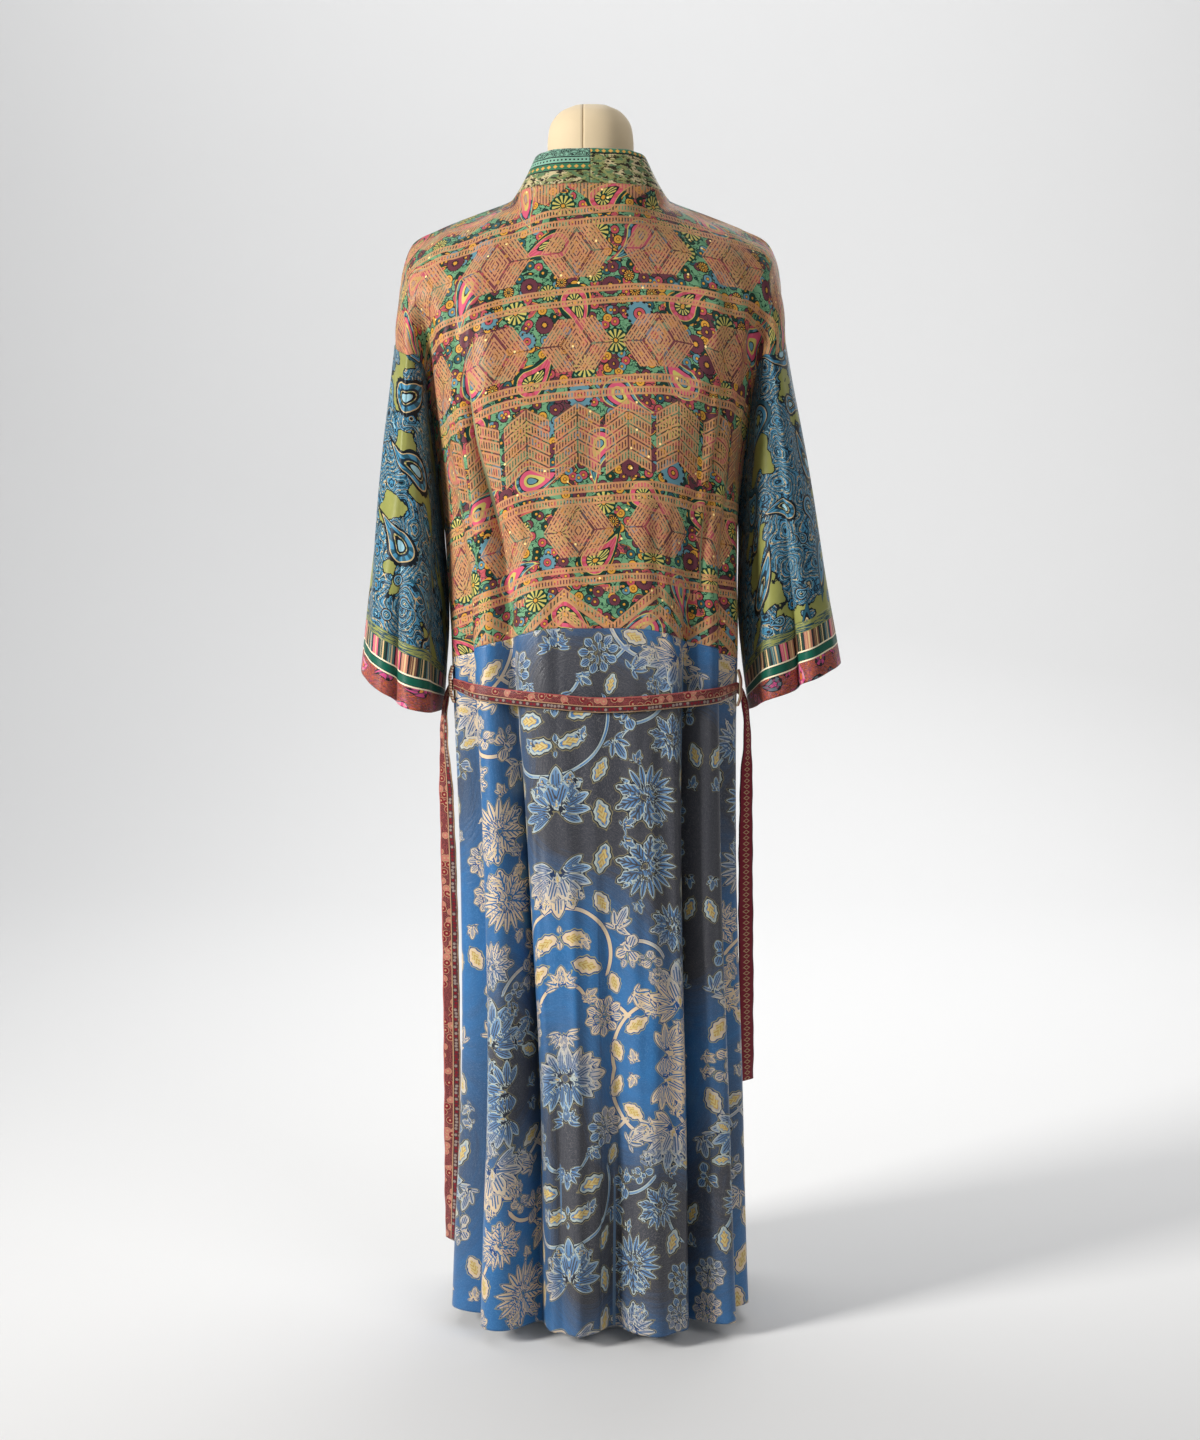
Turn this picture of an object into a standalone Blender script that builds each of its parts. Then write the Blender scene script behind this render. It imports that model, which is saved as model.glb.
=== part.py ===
"""A patchwork silk kimono robe hanging open on a limbless dress form with a pole and a round foot.

Metres, +Z up. The wearer's back faces -Y, the front opening faces +Y, and the floor is z = 0.
The cloth is a net of hand-placed points: columns u run from the centre line out over the shoulder to the
side seam, and levels run from the shoulder line down to the hem. Panels sewn together share their seam's
points, and each is then drawn back a little from it.
"""

import bpy
import numpy as np

# Driving sizes
CLOTH = 0.0016            # wall of one layer of silk
BAND_WALL = 0.0026        # the neckband is folded double
BELT_WALL = 0.0018
SEAM_BACK = 0.00026       # each sewn edge is drawn back this far
SIDE_U = 0.3355           # cloth from the centre back to the side seam
NECK_U = 0.092            # column at the side of the neck
WAIST = 7                 # the level of the seam between top and skirt
UNDERARM = 5              # the level where the armhole closes
SLEEVE_ROWS = 10
CUFF_SHARE = 0.815        # how far down the sleeve its border starts
FOOT_RADIUS = 0.105
FOOT_FORWARD = 0.015      # the foot's centre stands this far in front of the pole
FOOT_HEIGHT = 0.008
POLE_RADIUS = 0.0125
FORM_SIDES = 26
FORM_CROWN = 1.463

# Columns of the finished cloth, from the centre line to the side seam
COLUMNS = (0.0, 0.020, 0.040, 0.066, 0.092, 0.115, 0.1375, 0.161, 0.1845, 0.202, 0.2195, 0.2375, 0.2555,
           0.2755, 0.2955, 0.3155, 0.3355)
LEVELS = (0, 0.5, 1, 1.5, 2, 2.5, 3, 3.5, 4, 4.5, 5, 6, 7)
SKIRT_LEVELS = (7, 7.3, 7.65, 8, 8.5, 9, 9.4, 9.75, 10)

# Neck seam from the centre back to the top of the shoulder: u, x, y, z
NECK_SEAM = (
    (0.000, 0.0000, -0.090, 1.365),
    (0.030, 0.0420, -0.086, 1.364),
    (0.060, 0.0760, -0.064, 1.360),
    (0.092, 0.0930, -0.005, 1.350),
)

# Hand-placed columns of the net
NET_U = (0.0, 0.050, 0.092, 0.1375, 0.1845, 0.2195, 0.2555, 0.2955, 0.3355)

# Shoulder seam, then the back's levels down to the underarm: one x, y, z for each column of the net
BACK_NET = (
    ((0.000, -0.090, 1.365), (0.065, -0.075, 1.362), (0.093, -0.005, 1.350), (0.136, -0.002, 1.334),
     (0.179, 0.000, 1.317), (0.209, 0.000, 1.301), (0.2225, 0.000, 1.268), (0.2265, 0.000, 1.228),
     (0.2285, 0.000, 1.188)),
    ((0.000, -0.106, 1.320), (0.053, -0.096, 1.323), (0.094, -0.066, 1.325), (0.138, -0.056, 1.312),
     (0.180, -0.050, 1.297), (0.206, -0.044, 1.279), (0.2195, -0.041, 1.248), (0.2265, -0.041, 1.208),
     (0.2285, -0.042, 1.178)),
    ((0.000, -0.115, 1.275), (0.053, -0.111, 1.276), (0.094, -0.100, 1.279), (0.138, -0.091, 1.274),
     (0.176, -0.080, 1.263), (0.199, -0.073, 1.249), (0.2100, -0.072, 1.222), (0.2140, -0.075, 1.190),
     (0.2130, -0.080, 1.170)),
    ((0.000, -0.121, 1.225), (0.052, -0.119, 1.225), (0.094, -0.115, 1.225), (0.136, -0.107, 1.222),
     (0.167, -0.095, 1.216), (0.182, -0.080, 1.207), (0.1885, -0.065, 1.198), (0.1938, -0.066, 1.183),
     (0.1990, -0.071, 1.167)),
    ((0.000, -0.126, 1.165), (0.051, -0.125, 1.165), (0.091, -0.123, 1.164), (0.129, -0.116, 1.162),
     (0.155, -0.103, 1.157), (0.171, -0.087, 1.149), (0.1800, -0.070, 1.146), (0.1865, -0.054, 1.138),
     (0.1905, -0.038, 1.124)),
    ((0.000, -0.129, 1.080), (0.048, -0.129, 1.080), (0.086, -0.126, 1.079), (0.120, -0.117, 1.075),
     (0.145, -0.101, 1.067), (0.160, -0.083, 1.058), (0.1690, -0.060, 1.046), (0.1750, -0.031, 1.024),
     (0.1770, 0.000, 0.985)),
)
# The front's levels for the columns from the side of the neck outward
FRONT_NET = (
    ((0.093, -0.005, 1.350), (0.136, -0.002, 1.334), (0.179, 0.000, 1.317), (0.209, 0.000, 1.301),
     (0.2225, 0.000, 1.268), (0.2265, 0.000, 1.228), (0.2285, 0.000, 1.188)),
    ((0.091, 0.054, 1.328), (0.134, 0.050, 1.313), (0.178, 0.046, 1.298), (0.205, 0.042, 1.280),
     (0.2195, 0.041, 1.248), (0.2265, 0.041, 1.208), (0.2285, 0.042, 1.178)),
    ((0.087, 0.091, 1.284), (0.131, 0.087, 1.276), (0.172, 0.077, 1.263), (0.198, 0.071, 1.249),
     (0.2100, 0.071, 1.222), (0.2140, 0.075, 1.190), (0.2130, 0.080, 1.170)),
    ((0.082, 0.117, 1.228), (0.126, 0.110, 1.224), (0.162, 0.096, 1.217), (0.181, 0.080, 1.207),
     (0.1885, 0.065, 1.198), (0.1938, 0.066, 1.183), (0.1990, 0.071, 1.167)),
    ((0.078, 0.132, 1.165), (0.120, 0.124, 1.162), (0.151, 0.108, 1.157), (0.170, 0.088, 1.149),
     (0.1800, 0.070, 1.146), (0.1865, 0.054, 1.138), (0.1905, 0.038, 1.124)),
    ((0.074, 0.134, 1.080), (0.112, 0.127, 1.075), (0.141, 0.110, 1.067), (0.159, 0.088, 1.056),
     (0.1690, 0.060, 1.046), (0.1750, 0.031, 1.024), (0.1770, 0.000, 0.985)),
)
# Lower levels: centre z, side z, half width, back depth, front depth, lean to the right, front edge x,
# squareness of the section
LOWER = (
    (0.970, 0.905, 0.1730, 0.130, 0.134, 0.002, 0.072, 2.4),
    (0.856, 0.800, 0.1705, 0.131, 0.134, 0.005, 0.070, 2.5),
    (0.580, 0.560, 0.1650, 0.138, 0.139, 0.008, 0.072, 2.7),
    (0.300, 0.290, 0.1670, 0.146, 0.147, 0.0125, 0.076, 3.0),
    (0.018, 0.022, 0.1745, 0.153, 0.156, 0.0110, 0.080, 3.6),
)

# How far each column has drifted sideways by the hem, and how much of it each level has: folds swing this way
DRIFT = ((-0.3355, 0.0), (-0.2375, 0.030), (-0.161, 0.072), (-0.115, 0.058), (-0.066, 0.030), (-0.020, 0.006),
         (0.020, 0.0), (0.092, 0.0), (0.161, -0.012), (0.2375, -0.006), (0.3355, 0.0))
DRIFT_LEVELS = ((5, 0.0), (6, 0.1), (7, 0.2), (8, 0.47), (9, 0.74), (10, 1.0))
# Folds down the cloth, troughs where the depth is above zero and ridges where it is below: column of the
# fold, half width, then its depth at each level from the underarm to the hem
FOLD_LEVELS = (4, 5, 6, 7, 8, 9, 10)
BACK_FOLDS = {
    "left_side_ridge": (-0.2755, 0.020, 0, 0, -0.001, -0.003, -0.004, -0.006, -0.008),
    "left_flank": (-0.2375, 0.020, 0, 0.002, 0.010, 0.016, 0.022, 0.028, 0.033),
    "left_ridge": (-0.2020, 0.024, 0, -0.001, -0.004, -0.006, -0.008, -0.011, -0.014),
    "left_blade": (-0.1610, 0.021, 0, 0.003, 0.012, 0.019, 0.028, 0.038, 0.046),
    "middle_ridge": (-0.0530, 0.030, 0, 0, 0, 0, -0.002, -0.007, -0.014),
    "middle": (0.0200, 0.021, 0, 0, 0, 0, 0.003, 0.014, 0.032),
    "right_middle_ridge": (0.0790, 0.026, 0, 0, 0, -0.001, -0.003, -0.008, -0.016),
    "right_blade": (0.1610, 0.021, 0, 0.003, 0.010, 0.016, 0.024, 0.036, 0.046),
    "right_ridge": (0.2020, 0.022, 0, -0.001, -0.004, -0.006, -0.008, -0.010, -0.013),
    "right_flank": (0.2375, 0.020, 0, 0.002, 0.009, 0.015, 0.021, 0.028, 0.033),
    "right_side_ridge": (0.2755, 0.022, 0, 0, -0.001, -0.003, -0.004, -0.006, -0.009),
}
FRONT_FOLDS = {
    "chest": (0.1375, 0.021, 0, 0.002, 0.008, 0.014, 0.020, 0.027, 0.034),
    "chest_ridge": (0.1845, 0.022, 0, 0, -0.003, -0.005, -0.007, -0.009, -0.012),
    "flank": (0.2375, 0.021, 0, 0.002, 0.008, 0.014, 0.020, 0.026, 0.031),
}

# Cuff openings: near x, far x, near z, far z, half depth, and how late the rise to the far side comes
CUFFS = {
    -1: (0.183, 0.277, 0.747, 0.797, 0.084, 1.6),
    1: (0.196, 0.301, 0.747, 0.806, 0.085, 0.7),
}
# How far the sleeve's edge is set inside the armhole, in twentieths round from the underarm
SLEEVE_INSET = ((0, 0.0034), (4, 0.0034), (8, 0.0), (12, 0.0), (16, 0.0034), (20, 0.0034))
# Folds down each sleeve: place round it in twentieths from the underarm over the back, depth at the seam,
# depth at the cuff, half width
SLEEVE_FOLDS = {
    -1: ((3.2, -0.002, -0.008, 1.2), (5.0, 0.000, 0.016, 1.0), (13.2, 0.002, 0.016, 1.1), (16.5, 0.0, -0.006, 1.2)),
    1: ((3.0, -0.002, -0.010, 1.2), (4.6, 0.002, 0.026, 0.9), (13.6, 0.002, 0.016, 1.1), (16.5, 0.0, -0.006, 1.2)),
}

# The neckband from its seam: height of the seam, direction x, y, z, width
BAND_LEAN = (
    (1.3655, 0.00, 0.35, 0.94, 0.043),
    (1.3620, -0.22, 0.30, 0.92, 0.043),
    (1.3520, -0.62, 0.02, 0.78, 0.044),
    (1.3200, -0.80, -0.12, 0.60, 0.047),
    (1.2500, -0.96, 0.02, 0.28, 0.050),
    (1.1500, -0.99, 0.06, 0.08, 0.050),
    (1.0000, -0.996, 0.05, 0.00, 0.050),
    (0.0200, -0.996, 0.06, 0.00, 0.050),
)

# The belt, from the end of its left tail across the back to the end of its right tail:
# x, y, z, width, then the way its width points
BELT = (
    (-0.1735, -0.012, 0.087, 0.023, -0.60, 0.75, -0.28),
    (-0.1705, -0.014, 0.250, 0.023, -0.90, 0.43, 0.00),
    (-0.1705, -0.020, 0.420, 0.022, -0.93, 0.37, 0.00),
    (-0.1720, -0.028, 0.570, 0.021, -0.90, 0.43, 0.00),
    (-0.1745, -0.032, 0.670, 0.019, -0.82, 0.57, 0.00),
    (-0.1760, -0.034, 0.722, 0.015, -0.62, 0.75, 0.10),
    (-0.1740, -0.0365, 0.756, 0.012, -0.45, 0.65, 0.45),
    (-0.1690, -0.0425, 0.775, 0.012, -0.20, 0.35, 0.88),
    (-0.1640, -0.0505, 0.7815, 0.013, -0.05, 0.05, 1.00),
    (-0.1535, -0.0700, 0.7815, 0.015, 0.00, 0.00, 1.00),
    (-0.1335, -0.1050, 0.7790, 0.018, 0.00, 0.00, 1.00),
    (-0.1000, -0.1195, 0.7755, 0.018, 0.00, 0.00, 1.00),
    (-0.0530, -0.1335, 0.7720, 0.018, 0.00, 0.00, 1.00),
    (0.0100, -0.1370, 0.7675, 0.018, 0.00, 0.00, 1.00),
    (0.0620, -0.1350, 0.7690, 0.018, 0.00, 0.00, 1.00),
    (0.0920, -0.1280, 0.7710, 0.018, 0.00, 0.00, 1.00),
    (0.1510, -0.0990, 0.7750, 0.018, 0.00, 0.00, 1.00),
    (0.1665, -0.0700, 0.7770, 0.015, 0.00, 0.00, 1.00),
    (0.1760, -0.0475, 0.7765, 0.013, 0.05, 0.05, 1.00),
    (0.1805, -0.0395, 0.7700, 0.012, 0.20, 0.35, 0.88),
    (0.1850, -0.0345, 0.7520, 0.012, 0.45, 0.65, 0.45),
    (0.1875, -0.0325, 0.7220, 0.015, 0.62, 0.75, 0.10),
    (0.1870, -0.0310, 0.6700, 0.018, 0.82, 0.57, 0.00),
    (0.1870, -0.0280, 0.5700, 0.020, 0.88, 0.47, 0.00),
    (0.1888, -0.0220, 0.4300, 0.021, 0.88, 0.47, 0.00),
    (0.1910, -0.0160, 0.2900, 0.021, 0.80, 0.55, 0.28),
)
# Loops: top and bottom where they are sewn to the skirt, the way out from it, stand-off, width
LOOPS = {
    "belt_loop_left": ((-0.1625, -0.0475, 0.8040), (-0.1610, -0.0484, 0.7600), (-0.88, -0.48), 0.0061, 0.008),
    "belt_loop_right": ((0.1734, -0.0453, 0.7995), (0.1732, -0.0455, 0.7555), (0.89, -0.45), 0.0058, 0.008),
}

# The dress form from its flat bottom to the crown of its neck: z, half width, back depth, front depth
FORM = (
    (0.660, 0.134, 0.092, 0.090),
    (0.710, 0.142, 0.102, 0.096),
    (0.760, 0.144, 0.106, 0.098),
    (0.840, 0.138, 0.100, 0.096),
    (0.920, 0.123, 0.086, 0.088),
    (0.985, 0.115, 0.079, 0.083),
    (1.050, 0.124, 0.084, 0.094),
    (1.110, 0.138, 0.091, 0.112),
    (1.150, 0.146, 0.096, 0.116),
    (1.200, 0.156, 0.098, 0.100),
    (1.240, 0.172, 0.092, 0.086),
    (1.270, 0.190, 0.082, 0.072),
    (1.290, 0.196, 0.072, 0.058),
    (1.303, 0.190, 0.066, 0.052),
    (1.3115, 0.170, 0.060, 0.046),
    (1.3275, 0.130, 0.058, 0.040),
    (1.3415, 0.094, 0.058, 0.042),
    (1.3515, 0.070, 0.057, 0.046),
    (1.3700, 0.056, 0.055, 0.049),
    (1.3950, 0.0505, 0.052, 0.049),
    (1.4200, 0.0505, 0.051, 0.048),
    (1.4400, 0.0465, 0.048, 0.044),
    (1.4530, 0.0360, 0.038, 0.035),
    (1.4610, 0.0190, 0.020, 0.019),
)

COLOURS = {
    "upper": (0.20, 0.42, 0.22),
    "skirt": (0.10, 0.22, 0.55),
    "sleeve": (0.42, 0.45, 0.12),
    "cuff": (0.30, 0.34, 0.16),
    "band_left": (0.62, 0.66, 0.48),
    "band_right": (0.58, 0.55, 0.34),
    "belt": (0.45, 0.05, 0.09),
    "loop": (0.75, 0.66, 0.52),
    "form": (0.78, 0.72, 0.60),
    "metal": (0.72, 0.72, 0.74),
}


def through(keys, values, at):
    """A cubic curve through table rows, each row's slope taken from its two neighbours."""
    keys = np.asarray(keys, float)
    values = np.asarray(values, float).reshape(len(keys), -1)
    slopes = np.gradient(values, keys, axis=0)
    at = np.clip(np.atleast_1d(np.asarray(at, float)), keys[0], keys[-1])
    i = np.clip(np.searchsorted(keys, at, side="right") - 1, 0, len(keys) - 2)
    step = (keys[i + 1] - keys[i])[:, None]
    t = (at - keys[i])[:, None] / step
    start = values[i] * (2 * t ** 3 - 3 * t ** 2 + 1) + slopes[i] * step * (t ** 3 - 2 * t ** 2 + t)
    end = values[i + 1] * (3 * t ** 2 - 2 * t ** 3) + slopes[i + 1] * step * (t ** 3 - t ** 2)
    return start + end


def quarter(half, depth, share, square):
    """Points of a rounded-square quarter arc from (0, depth) to (half, 0), by share of its length."""
    angle = np.linspace(0, np.pi / 2, 400)
    x = half * np.sin(angle) ** (2 / square)
    y = depth * np.cos(angle) ** (2 / square)
    run = np.concatenate([[0], np.cumsum(np.hypot(np.diff(x), np.diff(y)))])
    return np.interp(share * run[-1], run, x), np.interp(share * run[-1], run, y)


def back_rows(side):
    """All levels of the back's net on one side, as level, column and x, y, z."""
    rows = [[(side * x, y, z) for x, y, z in row] for row in BACK_NET]
    share = np.asarray(NET_U) / SIDE_U
    for top, edge, half, back, _, lean, _, square in LOWER:
        x, y = quarter(half, back, share, square)
        z = top + (edge - top) * np.clip((np.asarray(NET_U) - 0.08) / (SIDE_U - 0.08), 0, 1)
        drift = lean * np.ones_like(x)
        rows.append(list(zip(side * x + drift, -y, z)))
    return np.asarray(rows)


def front_rows(side):
    """All levels of one front's net, from the front edge to the side seam."""
    rows = [[(side * x, y, z) for x, y, z in row] for row in FRONT_NET]
    share = (np.asarray(NET_U)[2:] - NECK_U) / (SIDE_U - NECK_U)
    for top, edge, half, _, front, lean, hem_x, square in LOWER:
        grid = np.linspace(0, 1, 200)
        x, y = quarter(half, front, grid, square)
        start = np.interp(hem_x, x, grid)
        x, y = quarter(half, front, start + (1 - start) * share, square)
        z = (top - 0.018 * (top > 0.5)) * (1 - share) + edge * share
        rows.append(list(zip(side * x + lean, y, z)))
    return np.asarray(rows)


def cloth(rows, keys, columns, levels):
    """Points of the net at columns[level] and levels: across each row of the net, then down between rows."""
    grid = []
    for level, at in zip(levels, columns):
        across = np.stack([through(keys, row, at) for row in rows]).reshape(len(rows), -1)
        grid.append(through(range(len(rows)), across, level).reshape(-1, 3))
    return np.stack(grid)


def normals(points, closed=False):
    """Unit normals of a grid, out of the cloth's right side."""
    if closed:
        ring = np.concatenate([points[:, -1:], points, points[:, :1]], axis=1)
        along = np.gradient(ring, axis=1)[:, 1:-1]
    else:
        along = np.gradient(points, axis=1)
    down = np.gradient(points, axis=0)
    out = np.cross(down, along)
    return out / np.maximum(np.linalg.norm(out, axis=2, keepdims=True), 1e-9)


def fold_depth(folds, columns, levels):
    """How far the folds draw the cloth in at each level and column: rounded troughs and ridges."""
    total = np.zeros((len(levels), len(columns)))
    for place, wide, *depths in folds.values():
        depth = np.interp(levels, FOLD_LEVELS, depths)
        total += depth[:, None] * np.exp(-1.1 * ((columns - place) / wide) ** 2)[None]
    return total


def drifted(columns, levels):
    """The columns at each level, swung sideways by the folds."""
    keys, drift = np.transpose(DRIFT)
    share = np.interp(levels, *np.transpose(DRIFT_LEVELS))
    return columns + share[:, None] * np.interp(columns, keys, drift)[None]


def back_grid(levels):
    """The back from the left side seam to the right one."""
    halves = []
    for side in (-1, 1):
        columns = drifted(side * np.asarray(COLUMNS), levels) * side
        grid = cloth(back_rows(side), NET_U, columns, levels)
        if levels[0] == 0:
            grid[0] = shoulder_row(side, COLUMNS)
        halves.append(grid)
    grid = np.concatenate([halves[0][:, :0:-1], halves[1]], axis=1)
    columns = np.concatenate([-np.asarray(COLUMNS)[:0:-1], COLUMNS])
    depth = fold_depth(BACK_FOLDS, columns, levels) * edge_fade(columns)[None, :]
    return grid - normals(grid) * depth[..., None]


def edge_fade(u):
    """Nothing at a side seam and whole 4 cm away from it, so joined panels keep the same edge."""
    return np.clip((SIDE_U - np.abs(u)) / 0.04, 0, 1) ** 0.7


def shoulder_row(side, columns):
    """The back's top edge: the neck seam as far as the side of the neck, then the shoulder seam."""
    columns = np.asarray(columns)
    neck = through([r[0] for r in NECK_SEAM], [r[1:] for r in NECK_SEAM], columns[columns <= NECK_U])
    seam = through(NET_U[2:], BACK_NET[0][2:], columns[columns > NECK_U])
    row = np.concatenate([neck, seam])
    row[:, 0] *= side
    return row


def front_grid(side, levels):
    """One front from its front edge to the side seam; the left one is turned to keep its right side out."""
    columns = np.asarray(COLUMNS)[4:]
    grid = cloth(front_rows(side), NET_U[2:], [columns] * len(levels), levels)
    flip = grid if side < 0 else grid[:, ::-1]
    columns = columns if side < 0 else columns[::-1]
    near = np.clip((columns - NECK_U) / 0.03, 0, 1) * edge_fade(columns)
    depth = fold_depth(FRONT_FOLDS, columns, levels) * near[None, :]
    return flip - normals(flip) * depth[..., None]


def sleeve_grid(side, back, fronts, rows):
    """A tube of straight threads from the armhole to the cuff, with its folds drawn in."""
    column = 0 if side < 0 else -1
    front_column = -1 if side < 0 else 0
    count = LEVELS.index(UNDERARM)
    ring = np.concatenate([back[count::-1, column], fronts[side][1:count, front_column]])
    inset = np.interp(np.arange(len(ring)), *np.transpose(SLEEVE_INSET))
    ring = ring + np.array([side, 0, 0]) * inset[:, None]
    near, far, near_z, far_z, depth, late = CUFFS[side]
    turn = np.arange(len(ring)) * 2 * np.pi / len(ring)
    out = (1 - np.cos(turn)) / 2
    rise = near_z + (far_z - near_z) * out ** late
    cuff = np.stack([side * (near + (far - near) * out), -depth * np.sin(turn), rise], 1)
    share = np.asarray(rows)[:, None, None]
    grid = ring[None] * (1 - share) + cuff[None] * share
    if side < 0:
        grid = grid[:, ::-1]
    place = np.arange(len(ring)) if side > 0 else np.arange(len(ring))[::-1]
    total = np.zeros(grid.shape[:2])
    for centre, top, bottom, wide in SLEEVE_FOLDS[side]:
        gap = np.abs((place - centre + 10) % 20 - 10) / wide
        depth = top + (bottom - top) * np.asarray(rows)
        total += (depth * np.clip(np.asarray(rows) / 0.15, 0, 1))[:, None] * np.exp(-gap ** 2)[None]
    return grid - normals(grid, True) * total[..., None]


def band_grid(edge):
    """The neckband from its seam to its free edge, three points across."""
    rows = through([r[0] for r in BAND_LEAN][::-1], [r[1:] for r in BAND_LEAN][::-1], edge[:, 2])
    way = rows[:, :3] / np.linalg.norm(rows[:, :3], axis=1, keepdims=True)
    way[:, 0] *= np.where(edge[:, 0] < 0, -1, 1) * np.clip(np.abs(edge[:, 0]) / 0.02, 0, 1)
    return np.stack([edge + way * rows[:, 3:] * share for share in (0, 0.5, 1)])


def strip(table, wall):
    """A flat strip down a path, closed into a solid."""
    table = np.asarray(table, float)
    run = np.concatenate([[0], np.cumsum(np.linalg.norm(np.diff(table[:, :3], axis=0), axis=1))])
    fine = through(run, table, np.sort(np.concatenate([run, (run[:-1] + run[1:]) / 2])))
    path, width, way = fine[:, :3], fine[:, 3:4], fine[:, 4:7]
    tangent = np.gradient(path, axis=0)
    tangent /= np.linalg.norm(tangent, axis=1, keepdims=True)
    way = way - tangent * np.sum(way * tangent, axis=1, keepdims=True)
    way /= np.linalg.norm(way, axis=1, keepdims=True)
    out = np.cross(tangent, way)
    points = np.stack([path + way * width / 2, path - way * width / 2])
    return points, np.stack([out, out])


def shell(name, colour, points, out, wall, closed=False):
    """A closed wall about a grid of points, half its thickness to each side."""
    rows, columns = points.shape[:2]
    faces = []
    count = rows * columns
    index = np.arange(count).reshape(rows, columns)
    across = columns if closed else columns - 1
    for r in range(rows - 1):
        for c in range(across):
            d = (c + 1) % columns
            quad = (index[r, c], index[r + 1, c], index[r + 1, d], index[r, d])
            faces.append(quad)
            faces.append(tuple(quad[i] + count for i in (0, 3, 2, 1)))
    for c in range(across):
        d = (c + 1) % columns
        faces.append((index[0, c], index[0, d], index[0, d] + count, index[0, c] + count))
        faces.append((index[-1, d], index[-1, c], index[-1, c] + count, index[-1, d] + count))
    if not closed:
        for r in range(rows - 1):
            faces.append((index[r + 1, 0], index[r, 0], index[r, 0] + count, index[r + 1, 0] + count))
            faces.append((index[r, -1], index[r + 1, -1], index[r + 1, -1] + count, index[r, -1] + count))
    both = np.concatenate([(points + out * wall / 2).reshape(-1, 3), (points - out * wall / 2).reshape(-1, 3)])
    return solid(name, colour, both, [tuple(int(i) for i in f) for f in faces])


def solid(name, colour, points, faces):
    """An object from points and faces, split into triangles, with its own material."""
    mesh = bpy.data.meshes.new(name)
    triangles = []
    for face in faces:
        for i in range(1, len(face) - 1):
            triangles.append((face[0], face[i], face[i + 1]))
    mesh.from_pydata([tuple(p) for p in points], [], triangles)
    mesh.update()
    material = bpy.data.materials.new(name)
    material.use_nodes = True
    shader = material.node_tree.nodes["Principled BSDF"]
    shader.inputs["Base Color"].default_value = (*COLOURS[colour], 1.0)
    shader.inputs["Roughness"].default_value = 0.35 if colour == "metal" else 0.6
    shader.inputs["Metallic"].default_value = 1.0 if colour == "metal" else 0.0
    mesh.materials.append(material)
    piece = bpy.data.objects.new(name, mesh)
    bpy.context.scene.collection.objects.link(piece)
    return piece


def draw_back(points, closed, amount):
    """Each edge of a grid moved a little way in along the cloth, clear of the panel it is sewn to."""
    moved = points.copy()
    for first, second in ((0, 1), (-1, -2)):
        step = points[second] - points[first]
        moved[first] += step / np.linalg.norm(step, axis=1, keepdims=True) * amount
        if not closed:
            step = points[:, second] - points[:, first]
            moved[:, first] += step / np.linalg.norm(step, axis=1, keepdims=True) * amount
    return moved


def lathe(name, colour, rings, exponent, crown=None, forward=0.0):
    """A smooth closed body from rings given as z, half width, back depth and front depth."""
    turn = np.arange(FORM_SIDES) * 2 * np.pi / FORM_SIDES
    points = []
    faces = []
    for z, half, back, front in rings:
        c, s = np.cos(turn), np.sin(turn)
        depth = np.where(s < 0, back, front)
        x = half * np.sign(c) * np.abs(c) ** (2 / exponent)
        y = depth * np.sign(s) * np.abs(s) ** (2 / exponent)
        points += [(a, b + forward, z) for a, b in zip(x, y)]
    n = FORM_SIDES
    for r in range(len(rings) - 1):
        for c in range(n):
            d = (c + 1) % n
            faces.append((r * n + c, r * n + d, (r + 1) * n + d, (r + 1) * n + c))
    last = (len(rings) - 1) * n
    points.append((0, forward, rings[0][0]))
    points.append((0, forward, crown if crown else rings[-1][0]))
    for c in range(n):
        d = (c + 1) % n
        faces.append((len(points) - 2, d, c))
        faces.append((len(points) - 1, last + c, last + d))
    return solid(name, colour, points, faces)


def loop(name, top, bottom, out, stand, width):
    """A narrow loop sewn to the cloth at both ends, standing off it between them for the belt."""
    profile = ((0.0, 0.32), (0.10, 0.62), (0.24, 0.94), (0.5, 1.0), (0.76, 0.94), (0.90, 0.62), (1.0, 0.32))
    way = np.array([*out, 0.0])
    way /= np.linalg.norm(way)
    side = np.array([-way[1], way[0], 0.0])
    top, bottom = np.array(top), np.array(bottom)
    centre = np.array([top + (bottom - top) * a + way * b * stand for a, b in profile])
    points = np.stack([centre + side * width / 2, centre - side * width / 2])
    return shell(name, "loop", points, normals(points), 0.0012)


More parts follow.
